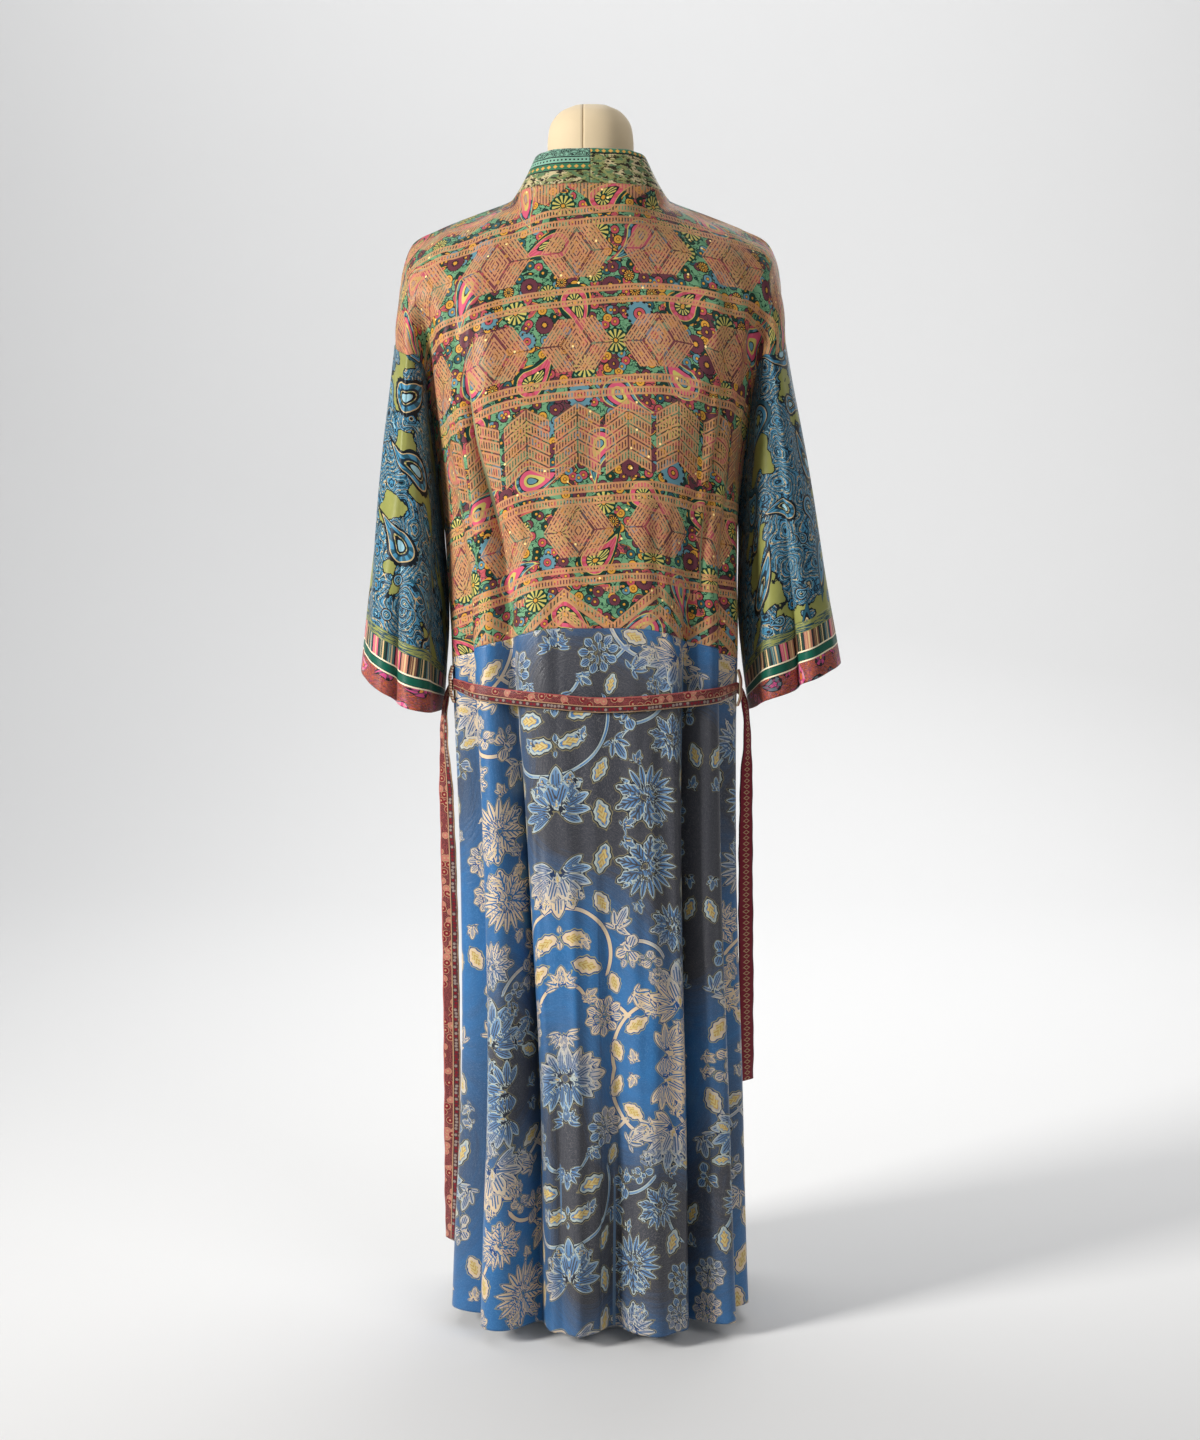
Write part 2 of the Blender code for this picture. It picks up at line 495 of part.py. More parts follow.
def build():
    for item in list(bpy.data.objects):
        bpy.data.objects.remove(item)
    back = back_grid(LEVELS)
    back_skirt = back_grid(SKIRT_LEVELS)
    fronts = {side: front_grid(side, LEVELS) for side in (-1, 1)}
    skirts = {side: front_grid(side, SKIRT_LEVELS) for side in (-1, 1)}
    # The waist seam, side seams and shoulder seams are shared
    for side in (-1, 1):
        column, front_column = (0, -1) if side < 0 else (-1, 0)
        closed_at = LEVELS.index(UNDERARM)
        fronts[side][closed_at:, front_column] = back[closed_at:, column]
        skirts[side][:, front_column] = back_skirt[:, column]
        skirts[side][0] = fronts[side][-1]
        middle = len(COLUMNS) - 1
        steps = range(4, len(COLUMNS))
        for k in steps:
            place = k - 4 if side < 0 else len(COLUMNS) - 1 - k
            fronts[side][0, place] = back[0, middle + side * k]
    back_skirt[0] = back[-1]
    share = np.concatenate([np.linspace(0, CUFF_SHARE, SLEEVE_ROWS), np.linspace(CUFF_SHARE, 1, 4)[1:]])
    sleeves = {side: sleeve_grid(side, back, fronts, share) for side in (-1, 1)}
    middle = len(COLUMNS) - 1
    bands = {}
    for side in (-1, 1):
        column = 0 if side > 0 else -1
        front_edge = -1 if side > 0 else 0
        neck = back[0, middle:middle + 5] if side > 0 else back[0, middle:middle - 5:-1]
        edge = np.concatenate([neck, fronts[side][1:, front_edge], skirts[side][1:, front_edge]])
        grid = band_grid(edge)
        bands[side] = grid if side < 0 else grid[:, ::-1]
    panels = {
        "back_upper": ("upper", back, CLOTH, False),
        "back_skirt": ("skirt", back_skirt, CLOTH, False),
    }
    for side, word in ((-1, "left"), (1, "right")):
        panels["front_upper_" + word] = ("upper", fronts[side], CLOTH, False)
        panels["front_skirt_" + word] = ("skirt", skirts[side], CLOTH, False)
        panels["sleeve_" + word] = ("sleeve", sleeves[side][:SLEEVE_ROWS], CLOTH, True)
        panels["cuff_" + word] = ("cuff", sleeves[side][SLEEVE_ROWS - 1:], CLOTH, True)
        panels["neckband_" + word] = ("band_" + word, bands[side], BAND_WALL, False)
    # Panels that meet at a point take one shared way out, so their walls stay side by side
    shared = {}
    ways = {}
    for name, (_, points, _, closed) in panels.items():
        ways[name] = normals(points, closed)
        for p, n in zip(points.reshape(-1, 3), ways[name].reshape(-1, 3)):
            key = tuple(np.round(p, 6))
            shared[key] = shared.get(key, 0) + n
    for name, (colour, points, wall, closed) in panels.items():
        out = np.array([shared[tuple(np.round(p, 6))] for p in points.reshape(-1, 3)]).reshape(points.shape)
        out /= np.linalg.norm(out, axis=2, keepdims=True)
        amount = SEAM_BACK * (3.5 if wall == BAND_WALL else 2.2 if closed else 1.0)
        shell(name, colour, draw_back(points, closed, amount), out, wall, closed)
    points, out = strip(BELT, BELT_WALL)
    shell("belt", "belt", points, out, BELT_WALL)
    for name, row in LOOPS.items():
        loop(name, *row)
    lathe("form_torso", "form", FORM, 2.2, FORM_CROWN)
    lathe("stand_pole", "metal", [(z, POLE_RADIUS, POLE_RADIUS, POLE_RADIUS)
                                  for z in (FOOT_HEIGHT + SEAM_BACK * 2, FORM[0][0] - SEAM_BACK * 2)], 2.0)
    lathe("stand_foot", "metal", [(0.0, FOOT_RADIUS, FOOT_RADIUS, FOOT_RADIUS),
                                  (FOOT_HEIGHT * 0.7, FOOT_RADIUS, FOOT_RADIUS, FOOT_RADIUS),
                                  (FOOT_HEIGHT, FOOT_RADIUS - 0.003, FOOT_RADIUS - 0.003, FOOT_RADIUS - 0.003)],
          2.0, None, FOOT_FORWARD)


build()
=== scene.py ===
"""A patchwork silk kimono robe hung open on a limbless dress form, with a pole and a round foot.

Metres, +Z up. The wearer's back faces -Y, the front opening faces +Y, and the floor is z = 0.
"""

import bpy
import numpy as np
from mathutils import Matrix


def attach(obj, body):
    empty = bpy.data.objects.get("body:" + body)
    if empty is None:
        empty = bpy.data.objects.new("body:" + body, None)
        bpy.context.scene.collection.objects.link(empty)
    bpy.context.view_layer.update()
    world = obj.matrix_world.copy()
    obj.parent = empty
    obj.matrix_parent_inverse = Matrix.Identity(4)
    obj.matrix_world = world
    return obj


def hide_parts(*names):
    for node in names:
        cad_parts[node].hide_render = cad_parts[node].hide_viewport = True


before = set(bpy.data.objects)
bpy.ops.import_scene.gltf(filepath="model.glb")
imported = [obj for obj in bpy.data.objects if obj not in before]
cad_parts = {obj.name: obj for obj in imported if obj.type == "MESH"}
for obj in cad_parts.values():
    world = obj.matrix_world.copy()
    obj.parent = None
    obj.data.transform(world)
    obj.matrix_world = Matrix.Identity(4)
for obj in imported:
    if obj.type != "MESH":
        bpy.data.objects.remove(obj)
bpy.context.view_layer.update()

# ---- Dress form -------------------------------------------------------------------------------
# A limbless display form of moulded papier-mache under cream cotton jersey. The jersey is cut in
# panels that meet in a fine seam down the centre back, and closes over the neck in a low dome.
TORSO = (  # z, half width, back depth, front depth
    (0.660, 0.134, 0.092, 0.090), (0.710, 0.142, 0.102, 0.096), (0.760, 0.144, 0.106, 0.098),
    (0.840, 0.138, 0.100, 0.096), (0.920, 0.123, 0.086, 0.088), (0.985, 0.115, 0.079, 0.083),
    (1.050, 0.124, 0.084, 0.094), (1.110, 0.138, 0.091, 0.112), (1.150, 0.146, 0.096, 0.116),
    (1.200, 0.156, 0.098, 0.100), (1.240, 0.172, 0.092, 0.086), (1.270, 0.190, 0.082, 0.072),
    (1.290, 0.196, 0.072, 0.058), (1.303, 0.190, 0.066, 0.052), (1.3115, 0.170, 0.060, 0.046),
    (1.3275, 0.130, 0.058, 0.040), (1.3415, 0.094, 0.058, 0.042), (1.3515, 0.070, 0.057, 0.046),
    (1.3700, 0.056, 0.055, 0.049), (1.3950, 0.0505, 0.052, 0.049), (1.4200, 0.0505, 0.051, 0.048),
    (1.4400, 0.0465, 0.048, 0.044), (1.4530, 0.0360, 0.038, 0.035), (1.4610, 0.0190, 0.020, 0.019),
)
SEAM_X = -0.009  # the centre back seam sits a little to the left


def cubic(t, start, end, start_slope, end_slope):
    """The cubic that goes from start to end as t goes from 0 to 1, with the slopes given at both."""
    return (start * (2 * t ** 3 - 3 * t ** 2 + 1) + start_slope * (t ** 3 - 2 * t ** 2 + t)
            + end * (3 * t ** 2 - 2 * t ** 3) + end_slope * (t ** 3 - t ** 2))


def through(keys, values, at):
    """A smooth curve through table rows, cubic between them, each row's slope from its two neighbours."""
    keys = np.asarray(keys, float)
    values = np.asarray(values, float).reshape(len(keys), -1)
    slopes = np.gradient(values, keys, axis=0)
    at = np.clip(np.atleast_1d(np.asarray(at, float)), keys[0], keys[-1])
    i = np.clip(np.searchsorted(keys, at, side="right") - 1, 0, len(keys) - 2)
    step = (keys[i + 1] - keys[i])[:, None]
    t = (at - keys[i])[:, None] / step
    return cubic(t, values[i], values[i + 1], slopes[i] * step, slopes[i + 1] * step)


def run_along(path):
    """How far along a path each of its points lies."""
    return np.concatenate([[0], np.cumsum(np.linalg.norm(np.diff(path, axis=0), axis=1))])


def quads(index):
    """The four-sided faces of a grid, from the numbers of its points."""
    return np.stack([index[:-1, :-1], index[:-1, 1:], index[1:, 1:], index[1:, :-1]], 2).reshape(-1, 4)


def shaped(name, points, faces):
    """A smooth-shaded piece from its points and a list of its faces."""
    mesh = bpy.data.meshes.new(name)
    mesh.from_pydata(points.tolist(), [], faces)
    mesh.polygons.foreach_set("use_smooth", np.ones(len(mesh.polygons), bool))
    piece = bpy.data.objects.new(name, mesh)
    bpy.context.scene.collection.objects.link(piece)
    return piece


def turned(name, table, exponent, sides, rows, crown, forward=0.0):
    """A closed body of rings: x is the half width times cos to a power, y the depth times sin to that
    power, so 2 gives an ellipse and more a squarer ring. The rings are the table's own rows if rows is 0,
    else they follow a smooth curve through them."""
    table = np.asarray(table)
    run = run_along(table[:, :2])
    at = np.unique(np.concatenate([np.linspace(0, run[-1], rows), run])) if rows else run
    fine = through(run, table, at) if rows else table
    turn = np.arange(sides) * 2 * np.pi / sides
    c, s = np.cos(turn), np.sin(turn)
    wide = np.sign(c) * np.abs(c) ** (2 / exponent)
    deep = np.sign(s) * np.abs(s) ** (2 / exponent)
    z, half, back, front = (fine[:, k:k + 1] for k in range(4))
    ring = np.stack([half * wide, np.where(deep < 0, back, front) * deep + forward, z + 0 * wide], axis=2)
    points = np.concatenate([ring.reshape(-1, 3), [[0, forward, fine[0, 0]], [0, forward, crown]]])
    index = np.arange(len(fine) * sides).reshape(len(fine), sides)
    index = np.concatenate([index, index[:, :1]], axis=1)
    low = np.stack([index[0, 1:], index[0, :-1], np.full(sides, len(points) - 2)], axis=1)
    top = np.stack([index[-1, :-1], index[-1, 1:], np.full(sides, len(points) - 1)], axis=1)
    return shaped(name, points, quads(index).tolist() + low.tolist() + top.tolist())


def rgb(red, green, blue):
    """A colour as a screen shows it, 0 to 255, in the shader's own units."""
    c = np.array([red, green, blue]) / 255
    return (*np.where(c > 0.04045, ((c + 0.055) / 1.055) ** 2.4, c / 12.92).tolist(), 1.0)


class Wire:
    """A value inside a material: sums written with it become the material's math nodes."""

    def __init__(self, socket):
        self.socket = socket

    def node(self, kind):
        """A new node in this value's material."""
        return self.socket.id_data.nodes.new(kind)

    def calc(self, kind, *values):
        """A math node, with wires joined to it and plain numbers set on it."""
        node = self.node("ShaderNodeMath")
        node.operation = kind
        for slot, value in zip(node.inputs, values):
            plug(value, slot)
        return Wire(node.outputs[0])

    def near(self, other, gap):
        """1 where the two values are less than gap apart, else 0."""
        return abs(self - other) < gap


def operation(kind, back=False):
    """A method that puts one math node on a wire and what it is worked with, or the other way round."""
    return lambda *values: values[0].calc(kind, *(reversed(values) if back else values))


for method, kind in (("__add__", "ADD"), ("__sub__", "SUBTRACT"), ("__mul__", "MULTIPLY"),
                     ("__truediv__", "DIVIDE"), ("__lt__", "LESS_THAN"), ("__gt__", "GREATER_THAN"),
                     ("__abs__", "ABSOLUTE"), ("part", "FRACT"), ("whole", "FLOOR"), ("sine", "SINE"),
                     ("least", "MINIMUM"), ("most", "MAXIMUM")):
    setattr(Wire, method, operation(kind))
Wire.__rsub__ = operation("SUBTRACT", back=True)


def plug(value, slot):
    """Joins a wire to a socket, or sets a plain value on it."""
    if isinstance(value, Wire):
        slot.id_data.links.new(value.socket, slot)
    else:
        slot.default_value = value


def mix(share, low, high):
    """The colour low where share is 0 and high where it is 1."""
    node = share.node("ShaderNodeMix")
    node.data_type = "RGBA"
    for value, slot in ((share, node.inputs[0]), (low, node.inputs[6]), (high, node.inputs[7])):
        plug(value, slot)
    return Wire(node.outputs[2])


def xyz(vector):
    """A vector's three numbers."""
    node = vector.node("ShaderNodeSeparateXYZ")
    plug(vector, node.inputs[0])
    return [Wire(output) for output in node.outputs]


def noise(vector, scale, detail=2.0, rough=0.5):
    """Smooth noise about 0.5, with so many features a metre."""
    node = vector.node("ShaderNodeTexNoise")
    plug(vector, node.inputs["Vector"])
    node.inputs["Scale"].default_value = scale
    node.inputs["Detail"].default_value = detail
    node.inputs["Roughness"].default_value = rough
    return Wire(node.outputs["Fac"])


def material(name, rough, sheen=0.0, specular=0.5):
    """A new material: its tree's Principled shader and a wire of object coordinates."""
    made = bpy.data.materials.new(name)
    made.use_nodes = True
    shader = made.node_tree.nodes["Principled BSDF"]
    shader.inputs["Roughness"].default_value = rough
    shader.inputs["Specular IOR Level"].default_value = specular
    shader.inputs["Sheen Weight"].default_value = sheen
    shader.inputs["Sheen Roughness"].default_value = 0.4
    place = made.node_tree.nodes.new("ShaderNodeTexCoord")
    return made, shader, Wire(place.outputs["Object"])


def bump(shader, height, distance, strength=1.0):
    """Adds a bump to a shader from a height wire."""
    node = height.node("ShaderNodeBump")
    node.inputs["Distance"].default_value = distance
    node.inputs["Strength"].default_value = strength
    plug(height, node.inputs["Height"])
    plug(Wire(node.outputs[0]), shader.inputs["Normal"])


torso = turned("torso_cover", TORSO, 2.2, 120, 190, 1.463)
jersey, shader, place = material("cream_jersey", 0.85, 0.25, 0.25)
x, y, z = xyz(place)
seam = (abs(x - SEAM_X) < 0.0007) * (y < 0.0)
soft = noise(place, 30.0)
cream = mix(soft, rgb(217, 196, 160), rgb(228, 208, 174))
plug(mix(seam, cream, rgb(150, 126, 92)), shader.inputs["Base Color"])
groove = abs(x - SEAM_X).least(0.0026) / 0.0026 * (y < 0.0)
bump(shader, groove + noise(place, 900.0) * 0.10, 0.0011, 0.7)
torso.data.materials.append(jersey)
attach(torso, "root")
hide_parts("form_torso")

# ---- Stand ------------------------------------------------------------------------------------
# A brushed steel tube, 25 mm through, stands on a round painted steel foot 210 mm across and 8 mm
# thick. It is pushed into the foot's socket, and the form drops over its top.
POLE_RADIUS = 0.0125
POLE_TOP = 0.65948
POLE = tuple((z, *[POLE_RADIUS] * 3) for z in (0.00852, 0.0105, POLE_TOP))
FOOT_PROFILE = ((0.0, 0.1048), (0.0002, 0.105), (0.0056, 0.105), (0.0071, 0.1044), (0.0080, 0.1028))
FOOT = tuple((z, *[radius] * 3) for z, radius in FOOT_PROFILE)
FOOT_FORWARD = 0.015  # the tube stands this far behind the foot's centre
pole = turned("stand_tube", POLE, 2.0, 64, 0, POLE_TOP)
steel, shader, place = material("brushed_tube", 0.34)
shader.inputs["Metallic"].default_value = 1.0
x, y, z = xyz(place)
plug(mix(noise(place, 60.0), rgb(176, 178, 182), rgb(202, 204, 206)), shader.inputs["Base Color"])
bump(shader, (z * 2600.0).sine(), 0.00004)
pole.data.materials.append(steel)
foot = turned("stand_plate", FOOT, 2.0, 128, 0, 0.0080, FOOT_FORWARD)
paint, shader, place = material("white_enamel", 0.4)
plug(mix(noise(place, 14.0), rgb(222, 221, 217), rgb(230, 229, 226)), shader.inputs["Base Color"])
bump(shader, noise(place, 420.0), 0.00006)
foot.data.materials.append(paint)
for piece, node, slot in ((pole, "stand_pole", "brushed_steel"), (foot, "stand_foot", "painted_foot")):
    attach(piece, "root")
    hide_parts(node)

# ---- Back of the top --------------------------------------------------------------------------
# One panel of printed silk satin, 0.78 m across at its widest, from the neck and shoulders down to the
# waist seam. Paisleys, daisies and rosettes crowd a jade ground, under rows of running-stitch shapes in
# peach: paired ladders, cubes, arrow columns and a zigzag above the seam.

# Each panel is drawn on a net without folds. A column's number is about its distance from the centre
# back in metres; levels run from 0 at the neck and shoulder line to 7 at the waist seam and 10 at the hem.
CLOTH = 0.0011   # the wall of one layer as it shows
SIDE_U = 0.3355  # the side seam's column
NECK_U = 0.092   # the side of the neck
WAIST = 7
HEM = 10
NET_U = (0.0, 0.050, NECK_U, 0.1375, 0.1845, 0.2195, 0.2555, 0.2955, SIDE_U)
NECK_SEAM = (  # column, x, y, z
    (0.000, 0.0000, -0.090, 1.365), (0.030, 0.0420, -0.086, 1.364), (0.060, 0.0760, -0.064, 1.360),
    (0.092, 0.0930, -0.005, 1.350),
)
# The shoulder line and then five levels down to the underarm: x, y, z for each column of NET_U
BACK_NET = (
    ((0.000, -0.090, 1.365), (0.065, -0.075, 1.362), (0.093, -0.005, 1.350), (0.136, -0.002, 1.334),
     (0.179, 0.000, 1.317), (0.209, 0.000, 1.301), (0.2225, 0.000, 1.268), (0.2265, 0.000, 1.228),
     (0.2285, 0.000, 1.188)),
    ((0.000, -0.106, 1.320), (0.053, -0.096, 1.323), (0.094, -0.066, 1.325), (0.138, -0.056, 1.312),
     (0.180, -0.050, 1.297), (0.206, -0.044, 1.279), (0.2195, -0.041, 1.248), (0.2265, -0.041, 1.208),
     (0.2285, -0.042, 1.178)),
    ((0.000, -0.115, 1.275), (0.053, -0.111, 1.276), (0.094, -0.100, 1.279), (0.138, -0.091, 1.274),
     (0.176, -0.080, 1.263), (0.199, -0.073, 1.249), (0.2100, -0.072, 1.222), (0.2140, -0.075, 1.190),
     (0.2130, -0.080, 1.170)),
    ((0.000, -0.121, 1.225), (0.052, -0.119, 1.225), (0.094, -0.115, 1.225), (0.136, -0.107, 1.222),
     (0.167, -0.095, 1.216), (0.182, -0.080, 1.207), (0.1885, -0.065, 1.198), (0.1938, -0.066, 1.183),
     (0.1990, -0.071, 1.167)),
    ((0.000, -0.126, 1.165), (0.051, -0.125, 1.165), (0.091, -0.123, 1.164), (0.129, -0.116, 1.162),
     (0.155, -0.103, 1.157), (0.171, -0.087, 1.149), (0.1800, -0.070, 1.146), (0.1865, -0.054, 1.138),
     (0.1905, -0.038, 1.124)),
    ((0.000, -0.129, 1.080), (0.048, -0.129, 1.080), (0.086, -0.126, 1.079), (0.120, -0.117, 1.075),
     (0.145, -0.101, 1.067), (0.160, -0.083, 1.058), (0.1690, -0.060, 1.046), (0.1750, -0.031, 1.024),
     (0.1770, 0.000, 0.985)),
)
# Levels 6 to 10: centre z, side z, half width, back depth, front depth, lean to the right, front edge
# x, squareness of the section
LOWER = (
    (0.970, 0.905, 0.1730, 0.130, 0.134, 0.002, 0.072, 2.4),
    (0.856, 0.800, 0.1705, 0.131, 0.134, 0.005, 0.070, 2.5),
    (0.580, 0.560, 0.1650, 0.138, 0.139, 0.008, 0.072, 2.7),
    (0.300, 0.290, 0.1670, 0.146, 0.147, 0.0125, 0.076, 3.0),
    (0.018, 0.022, 0.1745, 0.153, 0.156, 0.0110, 0.080, 3.6),
)
# How far each column has swung sideways by the hem, and how much of that each level has
DRIFT = ((-0.3355, 0.0), (-0.2375, 0.030), (-0.161, 0.072), (-0.115, 0.058), (-0.066, 0.030),
         (-0.020, 0.006), (0.020, 0.0), (0.092, 0.0), (0.161, -0.012), (0.2375, -0.006), (0.3355, 0.0))
DRIFT_LEVELS = ((5, 0.0), (6, 0.1), (WAIST, 0.2), (8, 0.47), (9, 0.74), (HEM, 1.0))
# The main folds, troughs above zero and ridges below: column, half width, depth at levels 4 to 10
FOLD_LEVELS = tuple(range(4, HEM + 1))
BACK_FOLDS = (
    (-0.2755, 0.020, 0, 0, -0.001, -0.003, -0.004, -0.006, -0.008),
    (-0.2375, 0.020, 0, 0.002, 0.010, 0.016, 0.022, 0.028, 0.033),
    (-0.2020, 0.024, 0, -0.001, -0.004, -0.006, -0.008, -0.011, -0.014),
    (-0.1610, 0.021, 0, 0.003, 0.012, 0.019, 0.028, 0.038, 0.046),
    (-0.0530, 0.030, 0, 0, 0, 0, -0.002, -0.007, -0.014),
    (0.0200, 0.021, 0, 0, 0, 0, 0.003, 0.014, 0.032),
    (0.0790, 0.026, 0, 0, 0, -0.001, -0.003, -0.008, -0.016),
    (0.1610, 0.021, 0, 0.003, 0.010, 0.016, 0.024, 0.036, 0.046),
    (0.2020, 0.022, 0, -0.001, -0.004, -0.006, -0.008, -0.010, -0.013),
    (0.2375, 0.020, 0, 0.002, 0.009, 0.015, 0.021, 0.028, 0.033),
    (0.2755, 0.022, 0, 0, -0.001, -0.003, -0.004, -0.006, -0.009),
)
# Soft creases of the top and the skirt: column, level, half width, half length in levels, slant in
# columns a level, depth
BACK_CREASES = (
    (-0.150, 2.6, 0.010, 0.9, -0.010, 0.0022), (-0.120, 3.4, 0.014, 1.3, -0.006, -0.0020),
    (-0.185, 4.2, 0.010, 1.2, -0.012, 0.0030), (-0.206, 3.1, 0.012, 0.9, -0.014, -0.0028),
    (-0.085, 5.4, 0.016, 1.4, -0.004, 0.0014), (-0.040, 6.3, 0.018, 0.9, 0.006, -0.0012),
    (0.030, 6.5, 0.015, 0.8, -0.004, 0.0011), (0.075, 5.6, 0.016, 1.5, 0.006, -0.0015),
    (0.120, 3.8, 0.012, 1.2, 0.008, 0.0021), (0.150, 2.9, 0.012, 1.0, 0.012, -0.0020),
    (0.187, 4.3, 0.011, 1.3, 0.010, 0.0028), (0.206, 3.2, 0.012, 0.8, 0.016, -0.0024),
    (-0.285, 3.8, 0.010, 0.9, 0.004, 0.0020), (0.290, 3.6, 0.011, 1.0, -0.004, 0.0022),
    (-0.128, 6.5, 0.007, 0.6, 0.0, 0.0022), (0.128, 6.4, 0.007, 0.7, 0.0, 0.0022),
    (-0.020, 0.5, 0.020, 0.5, 0.02, 0.0012), (0.050, 0.7, 0.014, 0.5, -0.02, 0.0014),
    (-0.250, 1.2, 0.010, 0.9, 0.012, 0.0022), (0.245, 1.4, 0.010, 0.8, -0.010, 0.0020),
    (-0.163, 5.3, 0.006, 1.1, 0.002, 0.0080), (-0.184, 5.0, 0.011, 1.6, 0.004, -0.0060),
    (-0.205, 5.4, 0.006, 1.2, 0.003, 0.0040), (0.188, 5.6, 0.006, 1.4, -0.003, 0.0070),
    (0.172, 5.2, 0.010, 1.3, -0.002, -0.0030), (-0.140, 3.0, 0.009, 1.0, -0.016, -0.0028),
    (-0.110, 6.1, 0.009, 0.7, -0.006, 0.0020), (0.102, 6.3, 0.010, 0.6, 0.008, 0.0018),
    (0.000, 5.2, 0.012, 1.0, 0.010, 0.0012), (-0.060, 4.4, 0.012, 1.1, -0.012, 0.0012),
    (-0.135, 7.6, 0.008, 0.5, 0.0, 0.0030), (-0.090, 8.3, 0.016, 0.9, 0.006, -0.0022),
    (-0.070, 7.25, 0.010, 0.4, -0.010, 0.0018), (-0.030, 7.9, 0.018, 0.8, 0.004, 0.0018),
    (0.045, 7.5, 0.014, 0.6, -0.004, 0.0020), (0.055, 8.7, 0.012, 0.8, 0.003, -0.0020),
    (0.105, 8.1, 0.014, 1.0, 0.006, 0.0026), (0.125, 7.4, 0.009, 0.5, 0.004, -0.0020),
    (-0.300, 8.4, 0.012, 1.1, 0.0, 0.0040), (0.300, 8.6, 0.012, 1.2, 0.0, 0.0040),
    (-0.010, 9.2, 0.020, 0.7, 0.004, -0.0030), (0.100, 9.5, 0.014, 0.6, 0.006, 0.0040),
    (-0.100, 9.4, 0.014, 0.7, -0.004, 0.0040), (-0.200, 8.9, 0.008, 0.8, 0.0, 0.0030),
    (0.195, 8.8, 0.008, 0.9, 0.0, 0.0026), (0.020, 7.15, 0.022, 0.25, 0.0, 0.0016),
    (-0.160, 8.6, 0.006, 0.9, 0.0, 0.0120), (-0.180, 8.0, 0.012, 1.2, 0.0, -0.0070),
    (0.161, 8.0, 0.006, 1.2, 0.0, 0.0120), (0.180, 8.0, 0.010, 1.2, 0.0, -0.0060),
    (-0.118, 8.1, 0.010, 0.8, 0.004, 0.0026), (0.070, 8.2, 0.010, 1.0, -0.004, 0.0024),
    (0.010, 8.5, 0.010, 0.9, 0.004, 0.0020), (-0.050, 8.9, 0.008, 0.7, 0.002, -0.0022),
    (0.130, 8.8, 0.008, 0.8, 0.004, -0.0024), (-0.215, 8.3, 0.010, 1.2, 0.0, 0.0040),
)


def quarter(half, depth, share, square):
    """Points of a rounded-square quarter arc from (0, depth) to (half, 0), by share of its length."""
    angle = np.linspace(0, np.pi / 2, 400)
    x = half * np.sin(angle) ** (2 / square)
    y = depth * np.cos(angle) ** (2 / square)
    run = run_along(np.stack([x, y], 1))
    return np.interp(share * run[-1], run, x), np.interp(share * run[-1], run, y)


def back_rows(side):
    """All levels of the back's net on one side, from the shoulder line to the hem."""
    rows = [[(side * x, y, z) for x, y, z in row] for row in BACK_NET]
    share = np.asarray(NET_U) / SIDE_U
    for top, edge, half, back, _, lean, _, square in LOWER:
        x, y = quarter(half, back, share, square)
        z = top + (edge - top) * np.clip((np.asarray(NET_U) - 0.08) / (SIDE_U - 0.08), 0, 1)
        rows.append(list(zip(side * x + lean, -y, z)))
    return np.asarray(rows)


def cloth(rows, keys, columns, levels):
    """Points of a net: smooth curves across each of its rows, then smooth curves down between them.
    columns has one row of columns for each level."""
    across = [through(keys, row, columns.reshape(-1)).reshape(*columns.shape, 3) for row in rows]
    across = np.stack(across)
    slopes = np.gradient(across, axis=0)
    levels = np.asarray(levels)
    i = np.clip(np.floor(levels).astype(int), 0, len(rows) - 2)
    t = (levels - i)[:, None, None]
    pick = np.arange(len(levels))
    return cubic(t, across[i, pick], across[i + 1, pick], slopes[i, pick], slopes[i + 1, pick])


def normals(points, closed=False):
    """Unit normals of a grid, out of the cloth's right side: down crossed with along."""
    if closed:
        ring = np.concatenate([points[:, -1:], points, points[:, :1]], axis=1)
        along = np.gradient(ring, axis=1)[:, 1:-1]
    else:
        along = np.gradient(points, axis=1)
    out = np.cross(np.gradient(points, axis=0), along)
    return out / np.maximum(np.linalg.norm(out, axis=2, keepdims=True), 1e-9)


def fold_depth(folds, columns, levels):
    """How far the folds draw the cloth in: each is exp(-1.1 gap squared) across, its depth a smooth curve
    down the levels."""
    total = np.zeros((len(levels), len(columns)))
    for place, wide, *depths in folds:
        depth = np.where(levels < 4, 0, through(FOLD_LEVELS, depths, levels)[:, 0])
        total += depth[:, None] * np.exp(-1.1 * ((columns - place) / wide) ** 2)[None]
    return total


def crease_depth(creases, columns, levels):
    """Soft creases: a bell curve across each one's slanting line and another along it."""
    total = np.zeros((len(levels), len(columns)))
    for place, level, wide, long, slant, depth in creases:
        along = (levels - level)[:, None]
        gap = (columns[None] - place - slant * along) / wide
        total += depth * np.exp(-gap ** 2 - (along / long) ** 2)
    return total


def edge_fade(u):
    """Nothing at a side seam and whole 4 cm away from it, so joined panels keep the same edge."""
    return np.clip((SIDE_U - np.abs(u)) / 0.04, 0, 1) ** 0.7


def pulled(grid, axis, end, target, reach):
    """The grid with one edge moved onto target, the move dying away smoothly over the next rows."""
    moved = np.moveaxis(grid, axis, 0)
    moved = moved[::-1] if end else moved
    t = np.clip(1 - np.arange(len(moved)) / reach, 0, 1)
    moved = moved + (target - moved[0])[None] * (t * t * (3 - 2 * t))[:, None, None]
    moved = moved[::-1] if end else moved
    return np.moveaxis(moved, 0, axis)


def evened(path, keys, count):
    """So many values of keys, a number for each point of a path, taken evenly along its length."""
    run = run_along(path)
    return np.interp(np.linspace(0, run[-1], count), run, keys)


def curve(table, at):
    """A smooth curve through a table's rows, whose first numbers are its keys."""
    return through([row[0] for row in table], [row[1:] for row in table], at)


